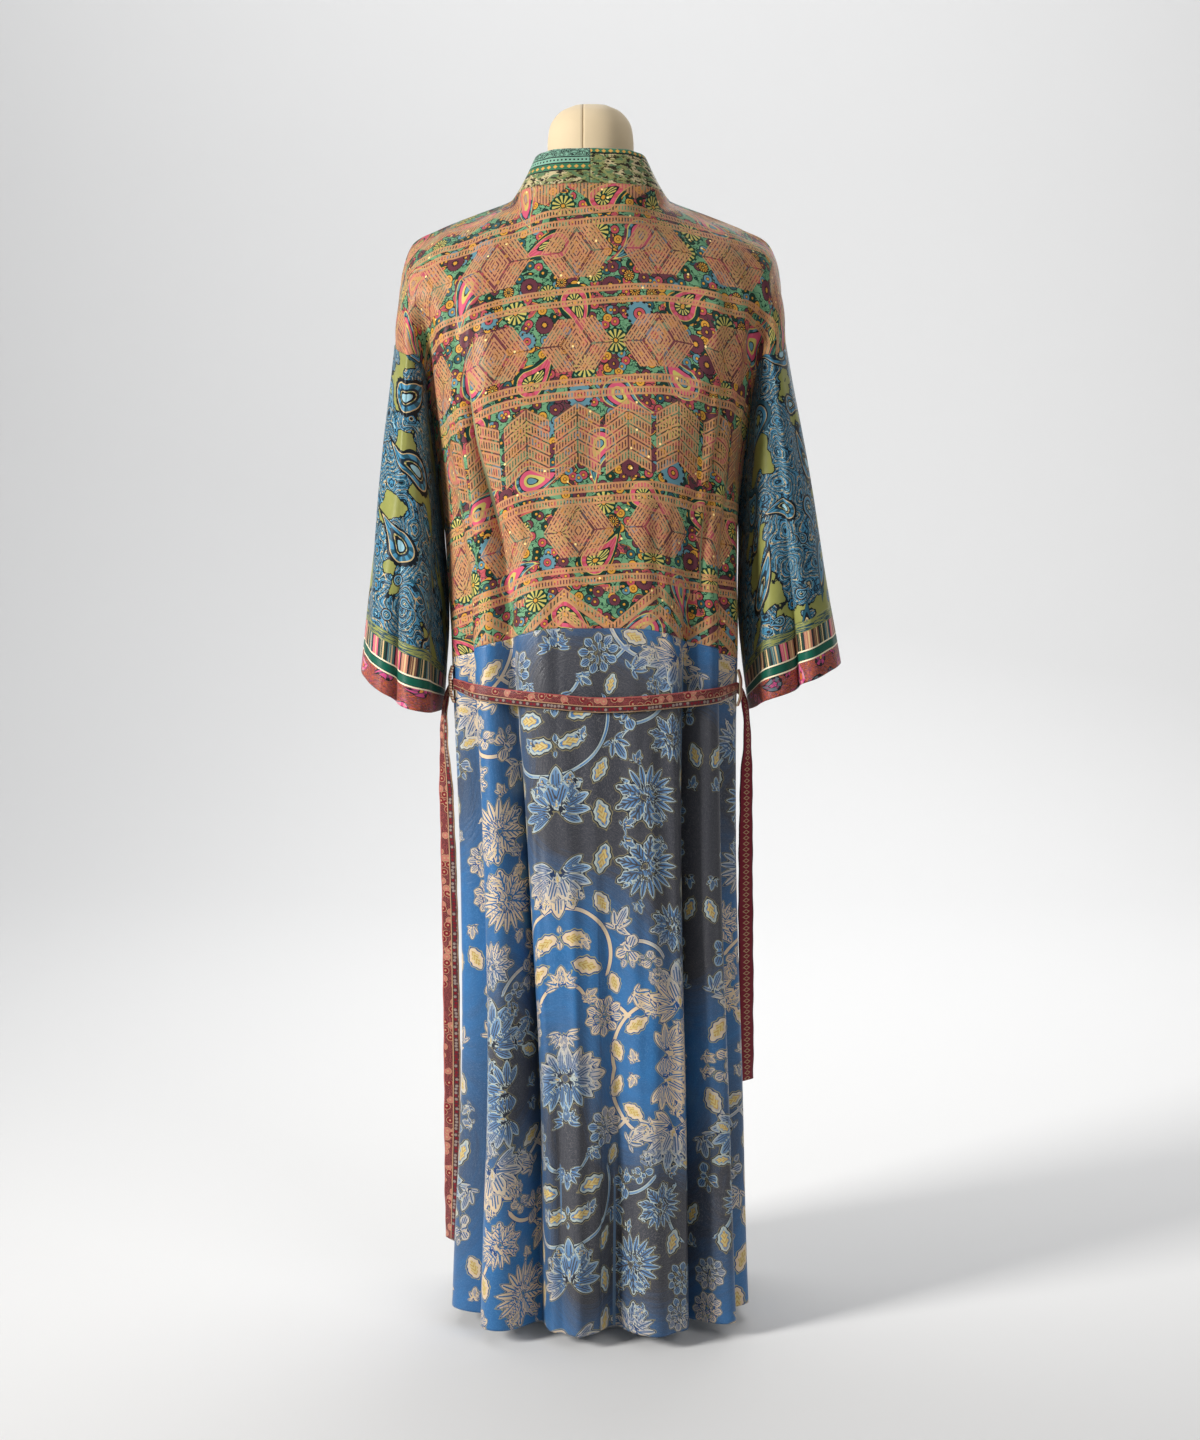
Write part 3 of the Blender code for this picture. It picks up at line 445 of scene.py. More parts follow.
def back_grid(columns, levels):
    """The back from the left side seam to the right one, with its folds and creases."""
    swing = np.interp(levels, *np.transpose(DRIFT_LEVELS))
    swung = columns + swing[:, None] * np.interp(columns, *np.transpose(DRIFT))
    left = cloth(back_rows(-1), NET_U, np.clip(-swung, 0, SIDE_U), levels)
    right = cloth(back_rows(1), NET_U, np.clip(swung, 0, SIDE_U), levels)
    grid = np.where((columns < 0)[None, :, None], left, right)
    if levels[0] == 0:
        inner = np.abs(columns) < NECK_U
        row = grid[0].copy()
        row[inner] = curve(NECK_SEAM, np.abs(columns[inner]))
        row[inner, 0] *= np.sign(columns[inner])
        grid = pulled(grid, 0, 0, row, 14)
    depth = fold_depth(BACK_FOLDS, columns, levels)
    depth += crease_depth(BACK_CREASES, columns, levels)
    depth += 0.0008 * ((levels > 0)[:, None] * np.sin(columns * 95 + 3 * np.sin(levels * 1.3)[:, None]))
    return grid - normals(grid) * (depth * edge_fade(columns)[None])[..., None]


def lengths(grid, axis, middle=0):
    """How far along the cloth each point is, down its column or along its row from the middle one."""
    steps = np.linalg.norm(np.diff(grid, axis=axis), axis=2)
    run = np.cumsum(np.insert(steps, 0, 0, axis=axis), axis=axis)
    return run - np.take(run, [middle], axis=axis)


def wall(name, points, thick, fields, skins, closed=False, step=3, ways=None):
    """A closed cloth wall about a grid: the right side on the whole grid, the wrong side on every third
    row and column, and a turned edge between them, so an open grid has 3n + 1 of both and a closed ring
    3n columns. ways are the directions of its thickness; fields are numbers or vectors at each point."""
    ways = normals(points, closed) if ways is None else ways
    inside = (points - ways * thick / 2)[::step, ::step]
    outside = points + ways * thick / 2
    rows, columns = points.shape[:2]
    few_rows, few = inside.shape[:2]
    index = np.arange(rows * columns).reshape(rows, columns)
    inner = np.arange(few_rows * few).reshape(few_rows, few) + rows * columns
    if closed:
        index = np.concatenate([index, index[:, :1]], axis=1)
        inner = np.concatenate([inner, inner[:, :1]], axis=1)
    right = np.roll(quads(index)[:, ::-1], 1, axis=1)
    wrong = quads(inner)
    edges = []
    for line, back_line, turn in ((index[0], inner[0], False), (index[-1], inner[-1], True),
                                  (index[:, 0], inner[:, 0], True), (index[:, -1], inner[:, -1], False)):
        if closed and len(edges) == 2:
            break
        strip = np.stack([line[k:len(line) - step + k:step] for k in range(step)] + [line[step::step]], 1)
        strip = np.concatenate([strip, back_line[1:, None], back_line[:-1, None]], 1)
        edges.append(strip[:, ::-1] if turn else strip)
    edges = np.concatenate(edges)
    both = np.concatenate([outside.reshape(-1, 3), inside.reshape(-1, 3)])
    piece = shaped(name, both, right.tolist() + wrong.tolist() + edges.tolist())
    mesh = piece.data
    skin = np.concatenate([np.zeros(len(right)), np.ones(len(wrong)), np.zeros(len(edges))])
    mesh.polygons.foreach_set("material_index", skin.astype(np.int32))
    for field, values in fields.items():
        vector = values.ndim == 3
        kept = mesh.attributes.new(field, "FLOAT_VECTOR" if vector else "FLOAT", "POINT")
        few_values = values[::step, ::step].reshape(few_rows * few, -1)
        flat = np.concatenate([values.reshape(rows * columns, -1), few_values])
        kept.data.foreach_set("vector" if vector else "value", flat.astype(np.float32).reshape(-1))
    for skin in skins:
        mesh.materials.append(skin)
    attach(piece, "root")
    return piece


def scatter(seed, area, sizes):
    """Places for motifs that don't touch, the biggest first. sizes has the size, how many tries, the share
    with a tail, and the sorts to pick from; each mark is u, v, size, turn, bend, tail and sort."""
    chance = np.random.default_rng(seed)
    taken = np.zeros((0, 3))
    marks = []
    for size, tries, tailed, sorts in sizes:
        for u, v, turn, odds, pick, bend in chance.random((tries, 6)):
            u = area[0] + (area[1] - area[0]) * u
            v = area[2] + (area[3] - area[2]) * v
            turn = turn * 2 * np.pi
            tail = odds < tailed
            reach = size * (1.45 if tail else 1.04)
            at = np.array([u - np.sin(turn) * size * 0.6 * tail, v + np.cos(turn) * size * 0.6 * tail])
            if (np.hypot(taken[:, 0] - at[0], taken[:, 1] - at[1]) < taken[:, 2] + reach).any():
                continue
            taken = np.concatenate([taken, [[*at, reach]]])
            kind = sorts[int(pick * len(sorts))]
            marks.append((u, v, size, turn, 0.34 if bend < 0.5 else -0.34, tail, kind))
    return marks


def figures(u, v, marks):
    """At each point of the cloth, the nearest motif's x, y and distance r from its middle, 1 at its edge,
    with a tailed one's teardrop squeezed back into a circle, and that motif's sort."""
    best = np.full(u.shape, 9.0)
    local = np.zeros((*u.shape, 2))
    sort = np.zeros(u.shape)
    for at_u, at_v, size, turn, bend, tail, kind in marks:
        pick = np.nonzero((np.abs(u - at_u) < 2.6 * size) & (np.abs(v - at_v) < 2.6 * size))
        du, dv = (u[pick] - at_u) / size, (v[pick] - at_v) / size
        x = du * np.cos(turn) + dv * np.sin(turn)
        y = -du * np.sin(turn) + dv * np.cos(turn)
        if tail:
            up = np.maximum(y, 0)
            x = (x - bend * up ** 2) / np.maximum(1 - up / 2.3, 0.03) ** 0.75
            y = np.where(y > 0, y / 2.3, y)
        r = np.hypot(x, y)
        closer = r < best[pick]
        pick = tuple(p[closer] for p in pick)
        best[pick] = r[closer]
        local[pick] = np.stack([x[closer], y[closer]], 1)
        sort[pick] = kind
    return np.concatenate([local, np.minimum(best, 3)[..., None]], axis=2), sort


def read(place, name):
    """Two wires of one of the cloth's own fields, as a vector and as a number."""
    node = place.node("ShaderNodeAttribute")
    node.attribute_name = name
    return Wire(node.outputs["Vector"]), Wire(node.outputs["Fac"])


def ramp(value, stops):
    """Flat bands of colour by value: each stop is where a colour starts, and the colour."""
    node = value.node("ShaderNodeValToRGB")
    node.color_ramp.interpolation = "CONSTANT"
    steps = node.color_ramp.elements
    steps.remove(steps[1])
    steps[0].position, steps[0].color = stops[0]
    for at, colour in stops[1:]:
        steps.new(at).color = colour
    plug(value, node.inputs[0])
    return Wire(node.outputs[0])


ROWS_REACH = 0.6  # further down the cloth than any row of its print


def mask(value, spans):
    """1 where value lies in one of the spans, else 0."""
    stops = [(0.0, (0, 0, 0, 1))]
    for low, high in spans:
        stops += [(low / ROWS_REACH, (1, 1, 1, 1)), (high / ROWS_REACH, (0, 0, 0, 1))]
    return ramp(value / ROWS_REACH, stops)


def cells(vector, scale, random=1.0):
    """Scattered cells: how far each point is from its cell's middle, and the cell's own random number."""
    node = vector.node("ShaderNodeTexVoronoi")
    node.voronoi_dimensions = "2D"
    node.inputs["Scale"].default_value = scale
    node.inputs["Randomness"].default_value = random
    plug(vector, node.inputs["Vector"])
    return Wire(node.outputs["Distance"]), xyz(Wire(node.outputs["Color"]))[0]


def wrap(value, middle, period):
    """Distance from the nearest of a row of middles, with its sign."""
    return ((value - middle) / period + 0.5).part() * period - period / 2


def rosettes(place, ground, petals, bands, other):
    """The figure motifs over a ground colour: rings of colour by distance from each motif's middle, which
    swap with a second set of rings as petals round it. bands and other have one list of rings a sort."""
    figure, _ = read(place, "figure")
    _, sort = read(place, "sort")
    x, y, r = xyz(figure)
    angle = x.calc("ARCTAN2", y, x)
    petal = (angle * petals).sine()
    sort = (sort + 0.5).whole()
    colours = []
    for rings in (bands, other):
        colour = ramp(r, rings[0])
        for k, stops in enumerate(rings[1:], 1):
            colour = mix(sort.near(k, 0.5), colour, ramp(r, stops))
        colours.append(colour)
    motif = mix(petal > 0.0, colours[1], colours[0])
    return mix(r < (abs(petal) * 0.08 + 0.92), ground, motif)


def silk(name, paint, rough, crinkle, shine=0.22):
    """A silk satin: its colour from paint, a fine crinkle, and a soft sheen at the edges."""
    made, shader, place = material(name, rough, 0.06, shine)
    plug(paint(place), shader.inputs["Base Color"])
    vector, _ = read(place, "cloth")
    bump(shader, noise(vector, 160.0, 3.0) * 0.6 + noise(vector, 45.0, 2.0), crinkle)
    return made


def wrong_side(name, colour):
    """The cloth's wrong side: one dull shade of the silk, mottled where the print strikes through."""
    made, shader, place = material(name, 0.6, 0.2, 0.3)
    dark = tuple(c * 0.62 for c in colour[:3]) + (1.0,)
    plug(mix(noise(place, 55.0, 3.0), dark, colour), shader.inputs["Base Color"])
    return made


# The rows of the top's print, in metres down the cloth, which meets the waist seam at WAIST_V
WAIST_V = 0.511
LADDERS = (0.0250, 0.0390, 0.1180, 0.1320, 0.2225, 0.2365, 0.3440, 0.3575, 0.4360, 0.4495)
LADDER_HIGH = 0.0084
RUNG_INSET = 0.0024
CUBE_ROWS = ((0.045, 0.112), (0.150, 0.218), (0.364, 0.430))
CUBE_PITCH = (0.0945, 0.1062)
CUBE_WIDE = 0.0170   # half of its upright lozenge
CUBE_HIGH = 0.0250
ARROWS_TOP = 0.2490
ARROWS_FOOT = 0.3190
ARROW_PITCH = 0.0585
ZIGZAG_PITCH = 0.1120
ZIGZAGS = ((0.4600, 0.4745), (0.4830, 0.4975))
ZIGZAG_RUNGS = ((0.4635, 0.4710), (0.4865, 0.4940))
POINT_PITCH = 0.052


def jade_print(place):
    """The top's print: jade ground, scattered rosettes and paisleys, running-stitch shapes over them."""
    jade, deep, ink = rgb(104, 150, 112), rgb(22, 56, 46), rgb(34, 30, 32)
    pink, rose, plum = rgb(198, 84, 110), rgb(176, 76, 84), rgb(98, 52, 62)
    ochre, straw = rgb(202, 146, 56), rgb(190, 178, 96)
    blue, teal = rgb(92, 134, 146), rgb(40, 84, 88)
    vector, _ = read(place, "cloth")
    u, _, w = xyz(vector)
    gap, chance = cells(vector, 80.0)
    swirl = noise(vector, 34.0, 1.0)
    ground = mix(noise(vector, 60.0) > 0.60, jade, rgb(86, 132, 98))
    ground = mix(swirl > 0.56, ground, mix(noise(vector, 24.0) > 0.5, rose, plum))
    ground = mix(swirl.near(0.575, 0.007), ground, ochre)
    ground = mix(swirl.near(0.558, 0.010), ground, ink)
    ground = mix(noise(vector, 120.0, 2.0).near(0.5, 0.024), ground, deep)
    small = ramp(chance, [(0.0, plum), (0.22, rose), (0.4, teal), (0.52, ochre), (0.64, deep),
                          (0.82, blue)])
    ground = mix((gap < 0.46) * (chance < 0.93), ground, ink)
    ground = mix((gap < 0.38) * (chance < 0.93), ground, small)
    ground = mix((gap < 0.17) * (chance < 0.93), ground, ink)
    ground = mix((gap < 0.12) * (chance < 0.93), ground, ochre)
    bands = (
        ((0.0, ochre), (0.15, ink), (0.22, straw), (0.80, deep)),
        ((0.0, ochre), (0.14, ink), (0.20, rose), (0.40, ink), (0.46, blue), (0.80, ink)),
        ((0.0, ochre), (0.10, deep), (0.16, straw), (0.40, ink), (0.45, rose), (0.68, straw), (0.72, deep),
         (0.90, ochre)),
        ((0.0, ochre), (0.24, ink), (0.30, plum), (0.86, ink)),
        ((0.0, straw), (0.20, ink), (0.32, ochre), (0.80, ink)),
        ((0.0, blue), (0.16, ink), (0.20, straw), (0.34, pink), (0.56, ink), (0.62, teal), (0.76, straw),
         (0.82, rose)),
    )
    other = (
        ((0.0, ochre), (0.15, deep), (0.88, jade)),
        ((0.0, ochre), (0.14, ink), (0.20, rose), (0.40, ink), (0.46, blue), (0.92, ink)),
        ((0.0, ochre), (0.10, deep), (0.40, ink), (0.45, pink), (0.68, straw), (0.72, deep), (0.90, ink)),
        ((0.0, ochre), (0.24, ink), (0.42, plum), (0.92, ink)),
        ((0.0, straw), (0.20, ink), (0.80, ink)),
        ((0.0, blue), (0.16, ink), (0.20, straw), (0.34, pink), (0.56, ink), (0.62, blue), (0.76, straw),
         (0.82, plum)),
    )
    colour = rosettes(place, ground, 12.0, bands, other)
    # Paired ladders
    ladder = mask(w, [(at, at + LADDER_HIGH) for at in LADDERS])
    rungs = mask(w, [(at + RUNG_INSET, at + LADDER_HIGH - RUNG_INSET) for at in LADDERS])
    stitch = ladder * (1.0 - rungs * ((u / 0.0036).part() < 0.42))
    # Cubes in three rows: an upright lozenge between four slanting bars
    x = abs(wrap(u, -0.0160, CUBE_PITCH[0]))
    y = abs(wrap(w, 0.0784, CUBE_PITCH[1]))
    lozenge = x / CUBE_WIDE + y / CUBE_HIGH
    inside = (lozenge < 2.45) * (y < 0.0300) * mask(w, CUBE_ROWS)
    lines = lozenge.near(1.06, 0.10).most((y < 0.0009) * (lozenge > 1.06))
    slant = x / CUBE_WIDE - y / CUBE_HIGH
    dashes = ((lozenge * 3.9 + 0.2).part() < 0.38) * ((slant * 1.9 + 0.3).part() < 0.80)
    stitch = stitch.most(inside * (1.0 - lines) * (1.0 - dashes))
    colour = mix(inside * 0.42, colour, rgb(128, 68, 70))
    # Arrow columns
    x = wrap(u, -0.0150, ARROW_PITCH)
    wide = abs(x)
    rise = w - wide * 0.62
    inside = (rise > ARROWS_TOP) * (rise < ARROWS_FOOT) * (wide < 0.0262)
    bar = ((rise - ARROWS_TOP) / 0.0140).part()
    dashes = (bar > 0.30) * (bar < 0.84) * (((x + 0.0009) / 0.0034).part() < 0.50)
    stitch = stitch.most(inside * (1.0 - (bar < 0.14).most(wide < 0.0010)) * (1.0 - dashes))
    colour = mix(inside * 0.36, colour, rgb(104, 74, 56))
    # The zigzag and its small triangles
    x = abs(wrap(u, -0.0350, ZIGZAG_PITCH)) / (ZIGZAG_PITCH / 2)
    rise = w - x * 0.044
    bars = mask(rise, ZIGZAGS)
    rungs = mask(rise, ZIGZAG_RUNGS)
    corner = (w > 0.4640) * ((rise + 0.020) < 0.4500)
    dashes = (u / 0.0040).part() < 0.40
    stitch = stitch.most(bars.most(corner) * (1.0 - rungs.most(corner) * dashes * 0.9))
    # Points under the neckband
    x = abs(wrap(u, 0.0, POINT_PITCH)) / (POINT_PITCH / 2)
    stitch = stitch.most(((w + x * 0.020) < 0.0185) * (1.0 - dashes * 0.8) * (w > -0.02))
    peach = mix(noise(vector, 26.0), rgb(184, 148, 100), rgb(200, 130, 96))
    colour = mix(stitch * 0.86, colour, peach)
    # Painted highlight: a few small dots for the metallic sequins. Their gold is the sequins' own colour,
    # painted as bright as a glint.
    painted_sequin_glint, chance = cells(vector, 150.0)
    return mix((painted_sequin_glint < 0.20) * (chance > 0.985), colour, rgb(255, 226, 150))


JADE_SIZES = (
    (0.0220, 400, 1.0, (2, 5)), (0.0160, 1200, 0.0, (0, 1, 0)), (0.0110, 2600, 0.10, (0, 3, 3, 1)),
    (0.0070, 3600, 0.0, (4, 3)),
)
jade_silk = silk("printed_silk_jade", jade_print, 0.44, 0.00035, shine=0.13)
jade_back = wrong_side("jade_silk_wrong_side", rgb(150, 150, 112))
coarse_levels = np.linspace(0, WAIST, 120)
coarse = back_grid(np.linspace(-SIDE_U, SIDE_U, 400), coarse_levels)
back_columns = np.linspace(-SIDE_U, SIDE_U, 289)
back_levels = evened(coarse[:, 200], coarse_levels, 220)
back = back_grid(back_columns, back_levels)
u, v = lengths(back, 1, len(back_columns) // 2), lengths(back, 0)
v = v - v[-1:] + WAIST_V
marks = scatter(5, (-0.46, 0.46, -0.03, 0.64), JADE_SIZES)
figure, sort = figures(u, v, marks)
fields = {"cloth": np.stack([u, v, v + 0.08 * u], 2), "figure": figure, "sort": sort}
piece = wall("back_of_the_top", back, CLOTH, fields, (jade_silk, jade_back))
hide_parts("back_upper")

# ---- Fronts of the top ------------------------------------------------------------------------
# Two panels of the same jade silk, each 0.24 m across, from the shoulder seam to the waist seam. They
# hang open with a gap of about 140 mm, and their front edges are sewn into the neckband.
FRONT_NET = (
    ((0.093, -0.005, 1.350), (0.136, -0.002, 1.334), (0.179, 0.000, 1.317), (0.209, 0.000, 1.301),
     (0.2225, 0.000, 1.268), (0.2265, 0.000, 1.228), (0.2285, 0.000, 1.188)),
    ((0.091, 0.054, 1.328), (0.134, 0.050, 1.313), (0.178, 0.046, 1.298), (0.205, 0.042, 1.280),
     (0.2195, 0.041, 1.248), (0.2265, 0.041, 1.208), (0.2285, 0.042, 1.178)),
    ((0.087, 0.091, 1.284), (0.131, 0.087, 1.276), (0.172, 0.077, 1.263), (0.198, 0.071, 1.249),
     (0.2100, 0.071, 1.222), (0.2140, 0.075, 1.190), (0.2130, 0.080, 1.170)),
    ((0.082, 0.117, 1.228), (0.126, 0.110, 1.224), (0.162, 0.096, 1.217), (0.181, 0.080, 1.207),
     (0.1885, 0.065, 1.198), (0.1938, 0.066, 1.183), (0.1990, 0.071, 1.167)),
    ((0.078, 0.132, 1.165), (0.120, 0.124, 1.162), (0.151, 0.108, 1.157), (0.170, 0.088, 1.149),
     (0.1800, 0.070, 1.146), (0.1865, 0.054, 1.138), (0.1905, 0.038, 1.124)),
    ((0.074, 0.134, 1.080), (0.112, 0.127, 1.075), (0.141, 0.110, 1.067), (0.159, 0.088, 1.056),
     (0.1690, 0.060, 1.046), (0.1750, 0.031, 1.024), (0.1770, 0.000, 0.985)),
)
FRONT_FOLDS = (
    (0.1375, 0.021, 0, 0.002, 0.008, 0.014, 0.020, 0.027, 0.034),
    (0.1845, 0.022, 0, 0, -0.003, -0.005, -0.007, -0.009, -0.012),
    (0.2375, 0.021, 0, 0.002, 0.008, 0.014, 0.020, 0.026, 0.031),
)
FRONT_CREASES = (
    (0.150, 2.4, 0.011, 1.0, 0.008, 0.0022), (0.125, 3.8, 0.012, 1.2, 0.004, -0.0018),
    (0.190, 3.9, 0.011, 1.2, 0.010, 0.0026), (0.210, 3.0, 0.012, 0.8, 0.014, -0.0022),
    (0.165, 5.6, 0.012, 1.1, 0.004, -0.0016), (0.118, 6.3, 0.010, 0.7, 0.0, 0.0016),
    (0.260, 1.4, 0.010, 0.9, -0.008, 0.0020), (0.285, 6.2, 0.011, 1.0, 0.0, 0.0020),
    (0.165, 7.6, 0.010, 0.6, 0.004, 0.0024), (0.115, 8.2, 0.012, 0.9, 0.004, 0.0022),
    (0.210, 8.6, 0.012, 1.0, -0.004, -0.0024), (0.275, 8.3, 0.013, 1.2, 0.0, 0.0034),
    (0.120, 9.3, 0.012, 0.7, 0.0, 0.0034), (0.190, 9.5, 0.010, 0.6, 0.0, -0.0030),
)
FRONT_DROP = 0.018  # how far the fronts' levels 6 to 8 lie below the back's


def front_rows(side):
    """All levels of one front's net, from the front edge to the side seam."""
    rows = [[(side * x, y, z) for x, y, z in row] for row in FRONT_NET]
    share = (np.asarray(NET_U)[2:] - NECK_U) / (SIDE_U - NECK_U)
    for top, edge, half, _, front, lean, hem_x, square in LOWER:
        grid = np.linspace(0, 1, 200)
        x, y = quarter(half, front, grid, square)
        start = np.interp(hem_x, x, grid)
        x, y = quarter(half, front, start + (1 - start) * share, square)
        z = (top - FRONT_DROP * (top > 0.5)) * (1 - share) + edge * share
        rows.append(list(zip(side * x + lean, y, z)))
    return np.asarray(rows)


def side_edge(side, levels):
    """The back's outer edge: the armhole down to level 5 and the side seam below it."""
    return cloth(back_rows(side), NET_U, np.full((len(levels), 1), SIDE_U), levels)[:, 0]


def front_grid(side, columns, levels):
    """One front, with its folds; the left one runs from its front edge to the side seam, the right one
    the other way, so that both have their right side out."""
    grid = cloth(front_rows(side), NET_U[2:], np.tile(columns, (len(levels), 1)), levels)
    below = (np.asarray(levels) > 5)[:, None]
    grid = pulled(grid, 1, 1, np.where(below, side_edge(side, levels), grid[:, -1]), 18)
    if levels[0] == 0:
        seam = cloth(back_rows(side), NET_U, columns[None], [0.0])[0]
        grid = pulled(grid, 0, 0, seam, 12)
    turn = slice(None) if side < 0 else slice(None, None, -1)
    grid, columns = grid[:, turn], columns[turn]
    near = np.clip((columns - NECK_U) / 0.03, 0, 1) * edge_fade(columns)
    depth = fold_depth(FRONT_FOLDS, columns, levels)
    depth += crease_depth(FRONT_CREASES, columns + 0.004 * side, levels)
    return grid - normals(grid) * (depth * near[None])[..., None]


coarse_levels = np.linspace(0, HEM, 200)
coarse = front_grid(-1, np.linspace(NECK_U, SIDE_U, 60), coarse_levels)
down = evened(coarse[:, 15], coarse_levels, 401)
split = int(np.searchsorted(down, WAIST))
front_columns = np.linspace(NECK_U, SIDE_U, 88)
front_levels = np.linspace(0, split - 1, 3 * (split // 3) + 1)
front_levels = np.interp(front_levels, np.arange(split), down[:split] * WAIST / down[split - 1])
for side, word in ((-1, "left"), (1, "right")):
    grid = front_grid(side, front_columns, front_levels)
    u, v = lengths(grid, 1), lengths(grid, 0)
    v = v - v[-1:] + WAIST_V
    marks = scatter(11 + side, (-0.02, 0.32, -0.03, 0.64), JADE_SIZES)
    figure, sort = figures(u, v, marks)
    fields = {"cloth": np.stack([u + 0.09, v, v], 2), "figure": figure, "sort": sort}
    piece = wall("front_of_the_top_" + word, grid, CLOTH, fields, (jade_silk, jade_back))
    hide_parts("front_upper_" + word)

# ---- Skirt: back and two fronts ---------------------------------------------------------------
# Heavier printed silk from the waist seam to a narrow turned hem. The ground drifts between bright
# blue and charcoal. Lotus, sunflower, carnation and vine motifs mirror about lines 0.22 m apart across
# it and 0.28 m apart down it, cream on the blue and pale blue with greyer rims on the charcoal.

# Each flower: angle, start, length, half width and style of its petals, the front ones last.
# Styles: 0 broad petal with fine lines, 1 leaf with an ochre spine, 2 slim petal, 3 ribbed leaf
FLOWERS = {
    "lotus": ((-22, 0.25, 0.72, 0.17, 0), (22, 0.25, 0.72, 0.17, 0), (0, 0.30, 0.76, 0.17, 0),
              (-118, 0.04, 0.66, 0.12, 0), (118, 0.04, 0.66, 0.12, 0), (-92, 0.04, 0.80, 0.13, 0),
              (92, 0.04, 0.80, 0.13, 0), (-66, 0.04, 0.84, 0.14, 0), (66, 0.04, 0.84, 0.14, 0),
              (-42, 0.04, 0.86, 0.15, 0), (42, 0.04, 0.86, 0.15, 0), (-17, 0.02, 0.70, 0.18, 0),
              (17, 0.02, 0.70, 0.18, 0), (0, -0.04, 0.34, 0.06, 1)),
    "sunflower": tuple((a, 0.18, 0.62, 0.085, 2) for a in range(-112, 100, 21)) + tuple(
        (a, 0.10, 0.72, 0.19, 3) for a in (112, 150, 232, 192)) + tuple(
        (a, 0.02, 0.26, 0.045, 2) for a in range(-100, 110, 33)),
    "leaf": ((0, -0.5, 1.0, 0.27, 1),),
    "wing": ((78, 0.0, 0.95, 0.26, 1), (-78, 0.0, 0.95, 0.26, 1), (0, 0.10, 0.3, 0.10, 2),
             (180, 0.1, 0.25, 0.08, 2)),
    "carnation": tuple((a, 0.24, 0.46, 0.17, 0) for a in range(0, 360, 40)) + tuple(
        (a, 0.05, 0.34, 0.06, 2) for a in range(10, 370, 45)),
    "rose": ((0, 0.05, 0.8, 0.34, 0), (130, 0.05, 0.7, 0.32, 0), (235, 0.05, 0.7, 0.32, 0),
             (60, -0.1, 0.5, 0.2, 2), (180, 0.5, 0.5, 0.16, 3), (215, 0.5, 0.5, 0.14, 3)),
    "bud": ((-34, 0.0, 0.72, 0.13, 2), (34, 0.0, 0.72, 0.13, 2), (0, 0.0, 0.95, 0.20, 0),
            (-88, 0.0, 0.5, 0.09, 2), (88, 0.0, 0.5, 0.09, 2)),
    "spray": tuple((a, 0.10, 0.6, 0.10, 2) for a in (-96, -66, -38, 38, 66, 96)) + ((0, 0.0, 0.8, 0.2, 0),
              (-16, 0.0, 0.5, 0.12, 0), (16, 0.0, 0.5, 0.12, 0)),
}
# One field of the print, from a mirror line down the cloth and a mirror line across it: kind, x, y,
# turn from up in degrees, size
FIELD = (
    ("lotus", 0.000, 0.036, 0, 0.052), ("leaf", 0.054, 0.026, -14, 0.040),
    ("leaf", 0.052, 0.078, 28, 0.034), ("wing", 0.000, 0.112, 0, 0.040),
    ("sunflower", 0.106, 0.042, 60, 0.050), ("bud", 0.068, 0.112, 150, 0.028),
    ("rose", 0.084, 0.138, 160, 0.020), ("sunflower", 0.138, 0.112, 130, 0.038),
    ("leaf", 0.160, 0.066, 10, 0.036), ("carnation", 0.176, 0.022, 0, 0.027),
    ("lotus", 0.150, 0.206, 188, 0.052), ("leaf", 0.032, 0.150, 70, 0.040),
    ("spray", 0.000, 0.170, 180, 0.032), ("carnation", 0.052, 0.214, 0, 0.036),
    ("spray", 0.000, 0.226, 0, 0.032), ("bud", 0.090, 0.190, 60, 0.026),
    ("leaf", 0.094, 0.228, 120, 0.034), ("lotus", 0.006, 0.280, 90, 0.046),
    ("lotus", 0.132, 0.264, 92, 0.046), ("leaf", 0.190, 0.236, 30, 0.038),
    ("rose", 0.190, 0.142, 20, 0.019), ("bud", 0.200, 0.190, 200, 0.026),
    ("leaf", 0.206, 0.092, -20, 0.034), ("bud", 0.024, 0.072, 210, 0.018),
    ("bud", 0.028, 0.118, 30, 0.015), ("rose", 0.112, 0.152, 70, 0.015),
    ("bud", 0.118, 0.212, 250, 0.020), ("leaf", 0.066, 0.176, 15, 0.024),
    ("bud", 0.030, 0.190, 130, 0.017), ("bud", 0.150, 0.222, 20, 0.017),
    ("leaf", 0.172, 0.164, 100, 0.024), ("bud", 0.078, 0.008, 60, 0.017),
    ("bud", 0.128, 0.012, 300, 0.018), ("bud", 0.148, 0.148, 40, 0.015),
    ("leaf", 0.070, 0.258, 20, 0.026), ("bud", 0.094, 0.272, 200, 0.016),
    ("rose", 0.176, 0.270, 110, 0.017), ("bud", 0.204, 0.052, 10, 0.016),
    ("bud", 0.094, 0.082, 20, 0.015), ("carnation", 0.118, 0.172, 0, 0.014),
    ("bud", 0.206, 0.268, 300, 0.016), ("leaf", 0.174, 0.204, 60, 0.022),
)
# Vines: middle x and y, radius, from and to angles in degrees from +x
VINES = (
    (0.000, 0.140, 0.062, -90, 22), (0.128, 0.262, 0.064, 118, 330), (0.092, 0.168, 0.040, 250, 330),
    (0.030, 0.262, 0.070, 270, 320), (0.200, 0.110, 0.050, 150, 235), (0.100, 0.100, 0.026, 120, 200),
    (0.205, 0.255, 0.060, 200, 262), (0.000, 0.196, 0.030, 200, 340),
)


def folded(value, middle, half):
    """A coordinate folded at mirror lines: 0 at the middle, half at the next line, and back."""
    return np.abs((value - middle + half) % (2 * half) - half)


